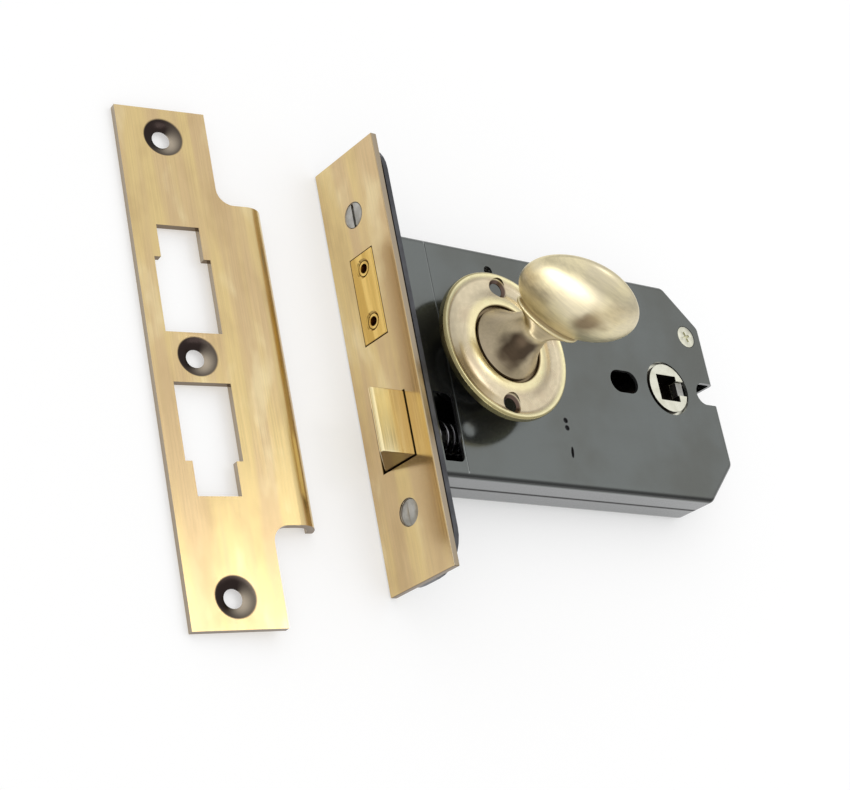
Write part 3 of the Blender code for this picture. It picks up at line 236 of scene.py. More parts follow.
# Rose
ROSE_R = 21.2
ROSE_BOTTOM = 15.8
ROSE_RIM_TOP = 18.1
ROSE_RIM_R = 0.8
ROSE_RIM_SLOPE = 1.9
ROSE_VALLEY_R = 17.0
ROSE_VALLEY_TOP = 17.1
ROSE_COLLAR_TOP = 18.7
ROSE_COLLAR_ROUND = 0.8
ROSE_SHEET = 1.0
ROSE_HOLE_R = 10.9
ROSE_LEDGE_TOP = 17.4
ROSE_LEDGE_LOW = 16.6
ROSE_SCREW_ANGLE = math.radians(84)
ROSE_COUNTERSINK_R = 3.0
ROSE_SCREW_HOLE_R = 2.0
ROSE_SCREW_SPOTS = [
    (TURN_X + ROSE_VALLEY_R * math.cos(angle), ROSE_VALLEY_R * math.sin(angle))
    for angle in (ROSE_SCREW_ANGLE, ROSE_SCREW_ANGLE + math.pi)
]

# Rear follower
HUB_R = 7.5
HUB_TOP = 8.1
HUB_SHOULDER_R = 9.6
HUB_SHOULDER_Z = 6.4
HUB_SQUARE = 8.1
HUB_EDGE = 0.15
HORN_THICK = 3.0
HORN_WIDTH = 5.0
HORN_LOW = 18.0
HORN_HIGH = 14.2
GRIP_WIDTH = 4.6
GRIP_Y = 0.35
GRIP_DEPTH = 3.0

# Strike plate
STRIKE_HALF = 12.7
STRIKE_LIP_Y = -0.4
STRIKE_LIP_HALF = 44.2
STRIKE_LIP_START = 20.7
STRIKE_CURL_R = 6.2
STRIKE_FILLET = 4.5
STRIKE_HOLE_YS = (-62.45, 0, 62.45)
STRIKE_COUNTERSINK_R = 5.75
STRIKE_HOLE_R = 2.5
STRIKE_LAND = 0.3
STRIKE_NARROW = 11.8
STRIKE_WIDE = 15.5
STRIKE_WINDOW_LOW = 6.8
STRIKE_WINDOW_STEP = 27.6
STRIKE_WINDOW_HIGH = 36.75
STRIKE_EDGE = 0.18


def at(x, y, z=0.0, angle=0.0):
    """A move to a spot, after a turn about the z axis."""
    return Matrix.Translation((x, y, z)) @ Matrix.Rotation(angle, 4, "Z")


# Materials


class Nodes:
    """The nodes of a material or a world, added one by one with what feeds their sockets."""

    def __init__(self, owner):
        owner.use_nodes = True
        self.nodes = owner.node_tree.nodes
        self.links = owner.node_tree.links

    def feed(self, node, inputs):
        """Wires each source to its socket, or sets the socket where the source is plain."""
        for key, source in inputs.items():
            if isinstance(source, bpy.types.NodeSocket):
                self.links.new(source, node.inputs[key])
            else:
                plain = (*source, 1) if isinstance(source, tuple) else source
                node.inputs[key].default_value = plain

    def add(self, kind, inputs=None, **settings):
        """A new node with its settings, and what feeds its inputs."""
        node = self.nodes.new(kind)
        for key, value in settings.items():
            setattr(node, key, value)
        self.feed(node, inputs or {})
        return node

    def math(self, operation, *sources):
        return self.add("ShaderNodeMath", dict(enumerate(sources)), operation=operation).outputs[0]

    def times(self, first, second):
        return self.math("MULTIPLY", first, second)

    def parts(self, vector):
        """The three parts of a vector."""
        node = self.add("ShaderNodeSeparateXYZ", {0: vector})
        return node.outputs["X"], node.outputs["Y"], node.outputs["Z"]

    def span(self, source, low, high, first=0.0, last=1.0):
        """A value that goes from first to last, smoothly, as its source goes from low to high."""
        ends = {"From Min": low, "From Max": high, "To Min": first, "To Max": last}
        inputs = {"Value": source, **ends}
        node = self.add("ShaderNodeMapRange", inputs, interpolation_type="SMOOTHSTEP")
        return node.outputs["Result"]

    def fade(self, source, low, high, share=1.0):
        """A value that goes from a share to nothing as its source goes from low to high."""
        return self.span(source, low, high, share, 0.0)

    def band(self, source, rise, fall, share):
        """A share that comes in over one stretch of its source and goes out over a later one."""
        return self.times(self.span(source, *rise), self.fade(source, *fall, share))


class Surface(Nodes):
    """A material with its patterns in the axes of the lock, the turn or the strike plate."""

    def __init__(self, name):
        self.material = bpy.data.materials.new(name)
        super().__init__(self.material)
        self.shader = self.nodes["Principled BSDF"]

    def axes(self, frame_axes, scale=(1, 1, 1), spot=(0, 0, 0)):
        """Coordinates in millimetres in some axes, from a spot there, each then scaled."""
        shifted = frame_axes @ Matrix.Translation(Vector(spot) * MM)
        inputs = {
            "Vector": self.add("ShaderNodeTexCoord").outputs["Object"],
            "Location": shifted.translation,
            "Rotation": shifted.to_euler(),
            "Scale": [MM / part for part in scale],
        }
        return self.add("ShaderNodeMapping", inputs, vector_type="TEXTURE").outputs["Vector"]

    def distance(self, vector):
        """How far a point is from the spot that its coordinates start from."""
        return self.add("ShaderNodeVectorMath", {0: vector}, operation="LENGTH").outputs["Value"]

    def radius(self, vector):
        """How far a point is from the z axis of its coordinates."""
        x, y, _ = self.parts(vector)
        return self.math("SQRT", self.math("ADD", self.times(x, x), self.times(y, y)))

    def facing(self, frame_axes, direction):
        """How squarely the surface faces a direction: 1 towards it, -1 away from it."""
        normal = self.add("ShaderNodeNewGeometry").outputs["Normal"]
        inputs = {0: normal, 1: frame_axes.to_3x3() @ Vector(direction)}
        return self.add("ShaderNodeVectorMath", inputs, operation="DOT_PRODUCT").outputs["Value"]

    def noise(self, vector, scale, detail, rough=0.5):
        """A noise whose values lie mostly between 0.3 and 0.7."""
        inputs = {"Vector": vector, "Scale": scale, "Detail": detail, "Roughness": rough}
        return self.add("ShaderNodeTexNoise", inputs).outputs["Fac"]

    def mix(self, factor, first, second, blend="MIX"):
        """A mix of two colours. Its sockets go by number, since several share each name."""
        inputs = {0: factor, 6: first, 7: second}
        return self.add("ShaderNodeMix", inputs, data_type="RGBA", blend_type=blend).outputs[2]

    def shaded(self, colour, source, dark, light, low=0.3, high=0.7):
        """A colour times a factor from dark to light, as its source goes from low to high."""
        return self.mix(1.0, colour, self.span(source, low, high, dark, light), "MULTIPLY")

    def bump(self, height, strength, distance):
        inputs = {"Height": height, "Strength": strength, "Distance": distance * MM}
        normal = self.add("ShaderNodeBump", inputs).outputs["Normal"]
        self.feed(self.shader, {"Normal": normal})

    def finish(self, colour, roughness, metallic=1.0):
        inputs = {"Base Color": colour, "Roughness": roughness, "Metallic": metallic}
        self.feed(self.shader, inputs)
        return self.material


BLACK = (0.01, 0.01, 0.01)
SHADOW = (0.03, 0.03, 0.03)

# Stake marks on the case: place, half length, half width and angle
CASE_MARKS = [(MARK_X, MARK_Y, 1.7, 0.55, MARK_ANGLE)]
CASE_MARKS += [(MARK_X, MARK_Y + rise, 0.85, 0.85, 0.0) for rise in DOT_RISES]

# Dark reflections on the turn: spot, distances where they start to fade and end, share and tone
TURN_PATCHES = [
    ((25.6, -4.6, 24.8), 3.0, 6.2, 0.96, (0.055, 0.037, 0.024)),
    ((25.6, -6.8, 20.8), 1.0, 5.2, 0.75, (0.12, 0.085, 0.055)),
    ((30.6, -6.6, 45.4), 1.5, 6.2, 0.9, (0.19, 0.13, 0.07)),
    ((32.8, -6.4, 51.5), 1.0, 6.5, 0.6, (0.50, 0.40, 0.22)),
    ((18.6, 0.6, 43.0), 1.5, 5.0, 0.25, (0.48, 0.36, 0.2)),
]

# Screw holes in brass sheet: spot, and distances where their painted shade starts to fade and ends
STRIKE_CONES = [((0, y, -1), 5.2, 5.8) for y in STRIKE_HOLE_YS]
FOREND_CONES = [((0, side * FOREND_SCREW_Y, 0), 3.5, 3.9) for side in (1, -1)]


def sheet_brass(name, axes, face, cones):
    """Satin brass sheet: soft bands along its length, faint brush lines, duller side faces, painted
    shade on faces that look down and in the countersinks.
    """
    tan, gold = (0.63, 0.465, 0.255), (0.71, 0.545, 0.26)
    pale, brown = (0.84, 0.71, 0.42), (0.50, 0.355, 0.18)
    side_tone, low_side_shade = (0.40, 0.33, 0.24), (0.14, 0.095, 0.055)
    cone_painted_shade, cone_painted_light = (0.028, 0.02, 0.018), (0.48, 0.41, 0.32)
    surface = Surface(name)
    bands = surface.noise(surface.axes(axes, (0.16, 0.012, 0.16)), 1.0, 2.0)
    clouds = surface.noise(surface.axes(axes, (1, 0.4, 1)), 0.09, 3.0, 0.55)
    lines = surface.noise(surface.axes(axes, (3.2, 0.03, 3.2)), 1.0, 3.0, 0.6)
    colour = surface.mix(surface.span(bands, 0.40, 0.64), tan, gold)
    colour = surface.mix(surface.span(clouds, 0.52, 0.72, 0.0, 0.6), colour, pale)
    colour = surface.mix(surface.fade(clouds, 0.30, 0.50, 0.45), colour, brown)
    colour = surface.shaded(colour, lines, 0.95, 1.05)
    square = surface.math("ABSOLUTE", surface.facing(axes, face))
    colour = surface.mix(surface.fade(square, 0.2, 0.75), colour, side_tone)
    # Painted shade on the faces that look down along y
    down = surface.facing(axes, (0, -1, 0))
    colour = surface.mix(surface.span(down, 0.4, 0.9, 0.0, 0.8), colour, low_side_shade)
    # Painted shade in the countersinks, with painted light on one side of each cone
    left = surface.facing(axes, (-0.8, 0.6, 0))
    cone = surface.mix(surface.span(left, -0.1, 0.5), cone_painted_shade, cone_painted_light)
    for spot, near, far in cones:
        reach = surface.distance(surface.axes(axes, spot=spot))
        colour = surface.mix(surface.fade(reach, near, far), colour, cone)
    surface.bump(lines, 0.1, 0.02)
    return surface.finish(colour, surface.span(lines, 0.3, 0.7, 0.19, 0.25))


def bolt_brass(name, light, dark):
    """Bright drawn brass, golden, with long soft bands, and painted shade on faces that look down
    and on all of it deeper than the forend's face.
    """
    low_side_shade, inside = (0.10, 0.065, 0.03), (0.26, 0.16, 0.06)
    surface = Surface(name)
    bands = surface.noise(surface.axes(LOCK, (0.35, 0.02, 0.35)), 1.0, 2.0)
    lines = surface.noise(surface.axes(LOCK, (4.0, 0.05, 4.0)), 1.0, 3.0, 0.6)
    colour = surface.mix(surface.span(bands, 0.38, 0.64), light, dark)
    colour = surface.shaded(colour, lines, 0.94, 1.05)
    # Painted shade on the faces that look down along y
    down = surface.facing(LOCK, (0, -1, 0))
    colour = surface.mix(surface.span(down, 0.3, 0.9, 0.0, 0.85), colour, low_side_shade)
    # Painted shade on all that lies deeper than the forend's face, its holes too
    depth, _, _ = surface.parts(surface.axes(LOCK))
    colour = surface.mix(surface.span(depth, 0.25, 0.9), colour, inside)
    surface.bump(lines, 0.1, 0.02)
    return surface.finish(colour, surface.span(lines, 0.3, 0.7, 0.16, 0.26))


def rose_brass(name):
    """Satin brass pressed and turned, ring by ring in painted highlights and painted shade, with
    painted shade in its screw holes and on its front side.
    """
    light, dull, hole = (0.64, 0.555, 0.39), (0.57, 0.475, 0.33), (0.11, 0.075, 0.06)
    surface = Surface(name)
    here = surface.axes(LOCK, spot=(TURN_X, 0, 0))
    radius = surface.radius(here)
    grain = surface.noise(surface.axes(LOCK, (1, 1, 6)), 0.5, 2.0)
    clouds = surface.noise(surface.axes(LOCK), 0.11, 3.0)
    colour = surface.mix(surface.span(clouds, 0.40, 0.66), light, dull)
    # Painted highlights on the ridge and the rim, painted shade outside the rim and inside the
    # collar
    rings = (
        (surface.fade(radius, 12.6, 14.6), (0.83, 0.73, 0.44)),
        (surface.span(radius, 19.2, 20.1), (0.78, 0.71, 0.43)),
        (surface.span(radius, 20.5, 20.8), (0.37, 0.32, 0.16)),
        (surface.fade(radius, 11.0, 11.5), (0.20, 0.15, 0.09)),
    )
    for share, tone in rings:
        colour = surface.mix(share, colour, tone)
    # Painted shade in the screw holes
    for x, y in ROSE_SCREW_SPOTS:
        reach = surface.radius(surface.axes(LOCK, spot=(x, y, 0)))
        colour = surface.mix(surface.fade(reach, 2.6, 3.1), colour, hole)
    colour = surface.shaded(colour, grain, 0.95, 1.05)
    # Painted shade on the side towards the forend, painted light on the rest
    across, _, _ = surface.parts(here)
    colour = surface.shaded(colour, across, 0.82, 1.20, -19.0, -11.0)
    return surface.finish(colour, surface.span(clouds, 0.35, 0.65, 0.24, 0.3))


def handled_brass(name):
    """Pale satin brass of the turn, brown low on its stem, with painted shade round its neck and a
    painted highlight on the lip.
    """
    light, dull, stem = (0.80, 0.71, 0.46), (0.72, 0.64, 0.45), (0.34, 0.265, 0.175)
    groove, lip = (0.38, 0.29, 0.16), (0.80, 0.70, 0.42)
    turned_axes = LOCK @ at(TURN_X * MM, 0, 0, KNOB_ANGLE)
    surface = Surface(name)
    here = surface.axes(turned_axes)
    _, _, height = surface.parts(here)
    clouds = surface.noise(here, 0.10, 2.0)
    lines = surface.noise(surface.axes(turned_axes, (0.06, 1.6, 1.6)), 1.0, 4.0, 0.65)
    wander = surface.span(surface.noise(here, 0.22, 1.0), 0.2, 0.8, -1.0, 1.0)
    colour = surface.mix(surface.span(clouds, 0.40, 0.66), light, dull)
    colour = surface.mix(surface.fade(height, 28.0, 32.0, 0.7), colour, stem)
    for spot, near, far, share, tone in TURN_PATCHES:
        reach = surface.math("ADD", surface.distance(surface.axes(LOCK, spot=spot)), wander)
        colour = surface.mix(surface.fade(reach, near, far, share), colour, tone)
    # Painted shade round the neck under the paddle, then a painted highlight on the lip
    colour = surface.mix(surface.band(height, (29.5, 31.5), (34.6, 36.2), 0.7), colour, groove)
    colour = surface.mix(surface.band(height, (33.3, 33.6), (34.3, 34.6), 0.8), colour, lip)
    colour = surface.shaded(colour, lines, 0.92, 1.06)
    surface.bump(lines, 0.06, 0.02)
    return surface.finish(colour, surface.span(lines, 0.35, 0.65, 0.33, 0.39))


def case_coat(name):
    """A smooth glossy dark grey metallic coat, with a painted highlight along the crease, painted
    shadow under the rose, a painted dark reflection at the bends, and side walls lighter as a
    painted reflection of the floor.
    """
    dark, light, wall_painted_light = (0.150, 0.157, 0.146), (0.176, 0.190, 0.185), (0.235, 0.24, 0.242)
    crease_highlight, mark_black = (0.42, 0.44, 0.43), (0.01, 0.01, 0.012)
    surface = Surface(name)
    here = surface.axes(LOCK)
    along, _, height = surface.parts(here)
    clouds = surface.noise(here, 0.035, 3.0, 0.55)
    grain = surface.noise(here, 3.0, 2.0)
    colour = surface.mix(surface.span(clouds, 0.35, 0.68), dark, light)
    colour = surface.shaded(colour, grain, 0.97, 1.03)
    # A painted highlight along the crease
    off = surface.math("ABSOLUTE", surface.math("SUBTRACT", along, CREASE_X))
    line = surface.times(surface.fade(off, 0.15, 0.3, 0.7), surface.span(height, 7.4, 7.6))
    colour = surface.mix(line, colour, crease_highlight)
    under_rose = surface.radius(surface.axes(LOCK, spot=(TURN_X, 0, 0)))
    colour = surface.mix(surface.fade(under_rose, 17.0, 22.0, 0.5), colour, SHADOW)
    for x, y, long, short, angle in CASE_MARKS:
        mark_axes = LOCK @ at(x * MM, y * MM, 0, angle)
        mark = surface.radius(surface.axes(mark_axes, (1 / long, 1 / short, 1)))
        colour = surface.mix(surface.fade(mark, 0.85, 1.1, 0.95), colour, mark_black)
    # Side walls lighter, as a painted reflection of the bright floor
    up = surface.math("ABSOLUTE", surface.facing(LOCK, (0, 0, 1)))
    wall = surface.fade(up, 0.05, 0.25)
    colour = surface.mix(wall, colour, wall_painted_light)
    bend = surface.band(up, (0.2, 0.4), (0.75, 0.95), 0.8)
    colour = surface.mix(bend, colour, SHADOW)
    seam = surface.fade(surface.math("ABSOLUTE", height), 0.45, 0.75)
    colour = surface.mix(surface.times(seam, wall), colour, BLACK)
    return surface.finish(colour, surface.span(grain, 0.3, 0.7, 0.13, 0.18), 0.9)


def black_coat(name):
    """Black coated steel with a fine grain and faint grey clouds."""
    black, grey = (0.055, 0.056, 0.062), (0.095, 0.098, 0.108)
    surface = Surface(name)
    clouds = surface.noise(surface.axes(LOCK), 0.12, 3.0, 0.6)
    grain = surface.noise(surface.axes(LOCK), 2.0, 2.0)
    colour = surface.mix(surface.span(clouds, 0.35, 0.7), black, grey)
    surface.bump(grain, 0.1, 0.03)
    return surface.finish(colour, surface.span(clouds, 0.3, 0.7, 0.26, 0.38), 0.6)


def hub_nickel(name):
    """Ivory nickel on the follower's ring, with painted shade in its square and on its sides."""
    bright, dull, hub_shade = (0.88, 0.87, 0.74), (0.76, 0.75, 0.62), (0.09, 0.07, 0.06)
    surface = Surface(name)
    here = surface.axes(LOCK, spot=(FOLLOWER_X, 0, 0))
    x, y, height = surface.parts(here)
    clouds = surface.noise(here, 0.4, 3.0, 0.55)
    colour = surface.mix(surface.span(clouds, 0.35, 0.7), bright, dull)
    # Painted shade in the square and on the sides and underside of the hub
    reach = surface.math("MAXIMUM", surface.math("ABSOLUTE", x), surface.math("ABSOLUTE", y))
    deep = surface.fade(height, HUB_TOP - 0.5, HUB_TOP - 0.2)
    square = surface.times(surface.fade(reach, HUB_SQUARE / 2, HUB_SQUARE / 2 + 0.15), deep)
    outside = surface.math("GREATER_THAN", surface.radius(here), HUB_R - 0.2)
    sideways = surface.fade(surface.facing(LOCK, (0, 0, 1)), 0.2, 0.7)
    dark = surface.math("MAXIMUM", square, surface.times(outside, sideways))
    colour = surface.mix(dark, colour, hub_shade)
    surface.bump(clouds, 0.1, 0.02)
    return surface.finish(colour, surface.span(clouds, 0.3, 0.7, 0.25, 0.38))


def plated(name, bright, dull, smooth, rough, metallic=1.0):
    """Plated steel, or plain nylon where it isn't metallic, with a fine grain and dull patches."""
    surface = Surface(name)
    clouds = surface.noise(surface.axes(LOCK), 0.3, 3.0, 0.55)
    grain = surface.noise(surface.axes(LOCK), 2.5, 3.0, 0.6)
    colour = surface.mix(surface.span(clouds, 0.35, 0.7), bright, dull)
    colour = surface.shaded(colour, grain, 0.94, 1.05)
    surface.bump(grain, 0.1, 0.02)
    return surface.finish(colour, surface.span(clouds, 0.3, 0.7, smooth, rough), metallic)


LOOKS = {
    "antique_brass": sheet_brass("antique_brass", LOCK, (1, 0, 0), FOREND_CONES),
    "strike_brass": sheet_brass("strike_brass", STRIKE, (0, 0, 1), STRIKE_CONES),
    "rose_brass": rose_brass("rose_brass"),
    "handled_brass": handled_brass("handled_brass"),
    "bolt_brass": bolt_brass("bolt_brass", (0.82, 0.57, 0.18), (0.60, 0.385, 0.10)),
    # The latch's copy of the bolt brass is paler: painted light on its faces
    "painted_light_latch_brass": bolt_brass("painted_light_latch_brass", (0.98, 0.87, 0.55), (0.94, 0.80, 0.45)),
    "black_steel": black_coat("black_steel"),
    "case_steel": case_coat("case_steel"),
    "zinc_steel": plated("zinc_steel", (0.46, 0.455, 0.43), (0.33, 0.325, 0.30), 0.28, 0.4),
    "nickel": plated("nickel", (0.88, 0.87, 0.72), (0.72, 0.71, 0.58), 0.25, 0.38),
    "hub_nickel": hub_nickel("hub_nickel"),
    "spring_steel": plated("spring_steel", (0.30, 0.30, 0.31), (0.20, 0.20, 0.21), 0.2, 0.3),
    "nylon": plated("nylon", (0.74, 0.73, 0.69), (0.66, 0.65, 0.61), 0.45, 0.6, 0.0),
}
# Nodes whose look is finer than that of their slot
SPECIAL_LOOKS = {
    "strike_plate": "strike_brass",
    "turn_knob": "handled_brass",
    "turn_rose": "rose_brass",
    # The latch's look is the paler copy, with painted light
    "latch_head": "painted_light_latch_brass",
    "follower_hub": "hub_nickel",
}

slot_of = {part["node"]: part["material_slot"] for part in frame["record"]["subparts"]}
bodies = frame["record"]["behaviour"]["bodies"]
body_of = {node: body for body, nodes in bodies.items() for node in nodes}


def look_of(node):
    return LOOKS[SPECIAL_LOOKS.get(node, slot_of[node])]


for node, item in frame["nodes"].items():
    item.data.materials.clear()
    item.data.materials.append(look_of(node))


# Outlines


def arc(centre, radius, first, last, steps):
    """Points along an arc, both ends included."""
    angles = [first + (last - first) * i / steps for i in range(steps + 1)]
    return [(centre[0] + radius * math.cos(a), centre[1] + radius * math.sin(a)) for a in angles]


def rectangle(low, high):
    return [(low[0], low[1]), (high[0], low[1]), (high[0], high[1]), (low[0], high[1])]


def rounded(corners, radii, steps):
    """An outline with each corner replaced by an arc of its own radius, or kept where that is 0."""
    outline = []
    for i, corner in enumerate(corners):
        if radii[i] <= 0:
            outline.append(corner)
            continue
        here = Vector(corner)
        before = (Vector(corners[i - 1]) - here).normalized()
        after = (Vector(corners[(i + 1) % len(corners)]) - here).normalized()
        half = before.angle(after) / 2
        centre = here + (before + after).normalized() * radii[i] / math.sin(half)
        first = here + before * radii[i] / math.tan(half) - centre
        last = here + after * radii[i] / math.tan(half) - centre
        sweep = math.atan2(first.x * last.y - first.y * last.x, first.dot(last))
        start = math.atan2(first.y, first.x)
        outline += arc(centre, radii[i], start, start + sweep, steps)
    return outline


def stadium(low, high, width, steps=20):
    """A slot's outline along x, from low to high, with round ends."""
    radius = width / 2
    right = arc((high - radius, 0), radius, -RIGHT_ANGLE, RIGHT_ANGLE, steps)
    return right + arc((low + radius, 0), radius, RIGHT_ANGLE, 3 * RIGHT_ANGLE, steps)


# Shapes, as meshes in millimetres


def mesh_of(form, name="shape"):
    mesh = bpy.data.meshes.new(name)
    bmesh.ops.recalc_face_normals(form, faces=form.faces)
    form.to_mesh(mesh)
    form.free()
    return mesh


def moved(mesh, *turns):
    """The mesh after the given matrices, the last of them first."""
    for turn in reversed(turns):
        mesh.transform(turn)
    return mesh


# Turns a shape made along z so that its top faces back along x, or so that it runs along y
FACING_FRONT = Matrix.Rotation(-RIGHT_ANGLE, 4, "Y")
ALONG_Y = Matrix.Rotation(RIGHT_ANGLE, 4, "X")


def skin(rings):
    """Skins rings of equal length, lowest first, and closes both ends."""
    form = bmesh.new()
    levels = [[form.verts.new(point) for point in ring] for ring in rings]
    for low, high in zip(levels, levels[1:]):
        for i, vertex in enumerate(low):
            form.faces.new((low[i - 1], vertex, high[i], high[i - 1]))
    form.faces.new(levels[0][::-1])
    form.faces.new(levels[-1])
    return mesh_of(form)


def turned(profile, steps=96):
    """A profile of (radius, height) turned about the z axis, closed on itself or on the axis."""
    form = bmesh.new()
    angles = [2 * math.pi * i / steps for i in range(steps)]
    levels = []
    for radius, height in profile:
        if radius == 0:
            levels.append([form.verts.new((0, 0, height))])
        else:
            ring = [(radius * math.cos(a), radius * math.sin(a), height) for a in angles]
            levels.append([form.verts.new(point) for point in ring])
    if profile[0][0] > 0:
        levels.append(levels[0])
    for low, high in zip(levels, levels[1:]):
        for i in range(steps):
            if len(low) == 1:
                form.faces.new((low[0], high[i], high[i - 1]))
            elif len(high) == 1:
                form.faces.new((low[i - 1], low[i], high[0]))
            else:
                form.faces.new((low[i - 1], low[i], high[i], high[i - 1]))
    return mesh_of(form)


def drum(radius, low, high, steps=64):
    return turned([(0, high), (radius, high), (radius, low), (0, low)], steps)


def extruded(outline, low, high):
    """An outline in x and y, from low to high."""
    form = bmesh.new()
    bottom = [form.verts.new((x, y, low)) for x, y in outline]
    top = [form.verts.new((x, y, high)) for x, y in outline]
    for i in range(len(outline)):
        form.faces.new((bottom[i - 1], bottom[i], top[i], top[i - 1]))
    form.faces.new(bottom[::-1])
    form.faces.new(top)
    return mesh_of(form)


def block(low, high):
    return extruded(rectangle(low, high), low[2], high[2])


def placed(name, data):
    """A new object of the given data, in the scene."""
    item = bpy.data.objects.new(name, data)
    bpy.context.scene.collection.objects.link(item)
    return item


def modified(data, *modifiers):
    """The mesh of some data after modifiers, each given as its kind and its settings."""
    item = placed("work", data)
    for kind, settings in modifiers:
        modifier = item.modifiers.new(kind, kind)
        for key, value in settings.items():
            setattr(modifier, key, value)
    graph = bpy.context.evaluated_depsgraph_get()
    result = bpy.data.meshes.new_from_object(item.evaluated_get(graph))
    bpy.data.objects.remove(item, do_unlink=True)
    return result


def combined(mesh, shapes, operation):
    tools = [placed("tool", shape) for shape in shapes]
    settings = {"operation": operation, "solver": "EXACT"}
    result = modified(mesh, *[("BOOLEAN", {**settings, "object": tool}) for tool in tools])
    for tool in tools:
        bpy.data.objects.remove(tool, do_unlink=True)
    return result


def cut(mesh, *shapes):
    return combined(mesh, shapes, "DIFFERENCE")


def join(mesh, *shapes):
    return combined(mesh, shapes, "UNION")


def softened(mesh, width, segments=3, angle=40):
    """Rounds every edge sharper than an angle in degrees."""
    limit = {"limit_method": "ANGLE", "angle_limit": math.radians(angle)}
    return modified(mesh, ("BEVEL", {"width": width, "segments": segments, **limit}))


def piece(node, mesh, axes=LOCK):
    """Puts a finer mesh where a node of the frame is, and hides that node."""
    mesh.transform(axes @ Matrix.Scale(MM, 4))
    mesh.shade_smooth()
    mesh.set_sharp_from_angle(angle=SHARP_ANGLE)
    mesh = modified(mesh, ("WEIGHTED_NORMAL", {"keep_sharp": True}))
    mesh.name = f"fine_{node}"
    mesh.materials.clear()
    mesh.materials.append(look_of(node))
    item = placed(mesh.name, mesh)
    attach(item, body_of[node])
    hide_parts(node)
    return item


# Fine pieces: forend and screws


def plate_openings():
    bolt_z = DEADBOLT_WIDTH / 2 + FIT_GAP
    latch_z = LATCH_OPENING / 2
    bolt_low, bolt_high = DEADBOLT_LOW - FIT_GAP, DEADBOLT_HIGH + FIT_GAP
    latch_low, latch_high = LATCH_LOW - SLIDE_GAP, LATCH_HIGH + SLIDE_GAP
    far = FOREND_THICK + PAST
    return (
        block((-PAST, bolt_low, -bolt_z), (far, bolt_high, bolt_z)),
        block((-PAST, latch_low, -latch_z), (far, latch_high, latch_z)),
    )


def forend_screw_hole(side, sink):
    head = FOREND_SCREW_HEAD_R + FIT_GAP
    shank = FOREND_SCREW_SHANK_R + FIT_GAP
    far = -FOREND_SCREW_LENGTH - PAST
    profile = [(0, PAST), (head, PAST), (head, -sink), (shank, shank - head - sink)]
    hole = turned(profile + [(shank, far), (0, far)])
    return moved(hole, at(0, side * FOREND_SCREW_Y), FACING_FRONT)


def forend_plate():
    half = FOREND_WIDTH / 2
    plate = softened(block((0, -FOREND_END, -half), (FOREND_THICK, FOREND_END, half)), FOREND_EDGE)
    holes = [forend_screw_hole(side, sink) for side, sink in zip((1, -1), FOREND_SCREW_SINKS)]
    plate = cut(plate, *plate_openings(), *holes)
    piece("forend_plate", softened(plate, OPENING_EDGE, segments=2, angle=50))


def forend_screw(number):
    sink = FOREND_SCREW_SINKS[number - 1]
    shank = FOREND_SCREW_SHANK_R
    profile = [
        (0, -sink),
        (FOREND_SCREW_HEAD_R, -sink),
        (shank, shank - FOREND_SCREW_HEAD_R - sink),
        (shank, -FOREND_SCREW_LENGTH),
        (0, -FOREND_SCREW_LENGTH),
    ]
    reach = FOREND_SCREW_HEAD_R + PAST
    half = SLOT_WIDTHS[number - 1] / 2
    floor = -sink - SLOT_DEPTHS[number - 1]
    screw = cut(turned(profile), block((-half, -reach, floor), (half, reach, PAST)))
    side = 1 if number == 1 else -1
    shape = moved(softened(screw, SCREW_EDGE, 2), at(0, side * FOREND_SCREW_Y), FACING_FRONT)
    piece(f"forend_screw_{number}", shape)


def case_screw():
    top = HALF_CASE - CASE_SCREW_SINK
    low = top - CASE_SCREW_LENGTH
    cone = top - CASE_SCREW_HEAD_R + CASE_SCREW_SHANK_R
    profile = [(0, top), (CASE_SCREW_HEAD_R, top), (CASE_SCREW_SHANK_R, cone)]
    screw = turned(profile + [(CASE_SCREW_SHANK_R, low), (0, low)])
    half, reach = CROSS_WIDTH / 2, CROSS_LENGTH / 2
    outline = []
    for quarter in range(4):
        turn = Matrix.Rotation(quarter * RIGHT_ANGLE, 2)
        for corner in ((reach, -half), (reach, half), (half, half)):
            outline.append(tuple(turn @ Vector(corner)))
    cross = moved(extruded(outline, top - CROSS_DEPTH, top + PAST), at(0, 0, 0, CROSS_ANGLE))
    screw = softened(cut(screw, cross), SCREW_EDGE, 2)
    piece("case_screw", moved(screw, at(*CASE_SCREW)))


# Fine pieces: upper half of the case


def case_surface():
    """The outside of half the case: a flat side bent down all round, open in front and below."""
    shoulder = CASE_REAR - CASE_CHAMFER
    corners = [
        (CASE_FRONT, -HALF_HEIGHT),
        (shoulder, -HALF_HEIGHT),
        (CASE_REAR, CASE_CHAMFER - HALF_HEIGHT),
        (CASE_REAR, HALF_HEIGHT - CASE_CHAMFER),
        (shoulder, HALF_HEIGHT),
        (CASE_FRONT, HALF_HEIGHT),
    ]
    outline = rounded(corners, [0] + [CASE_CORNER] * 4 + [0], 10)
    form = bmesh.new()
    form.from_mesh(extruded(outline, SEAM_GAP / 2, HALF_CASE))
    form.normal_update()
    top = max(form.faces, key=lambda face: face.normal.z)
    front = min(form.faces, key=lambda face: face.normal.x)
    rim = [edge for edge in top.edges if edge not in list(front.edges)]
    bend = {"offset": CASE_BEND, "segments": 12, "profile": 0.5, "clamp_overlap": False}
    bmesh.ops.bevel(form, geom=rim, affect="EDGES", **bend)
    form.normal_update()
    opened = [face for face in form.faces if min(face.normal.x, face.normal.z) < STRAIGHT_BACK]
    bmesh.ops.delete(form, geom=opened, context="FACES")
    mesh = bpy.data.meshes.new("case_surface")
    form.to_mesh(mesh)
    form.free()
    return mesh


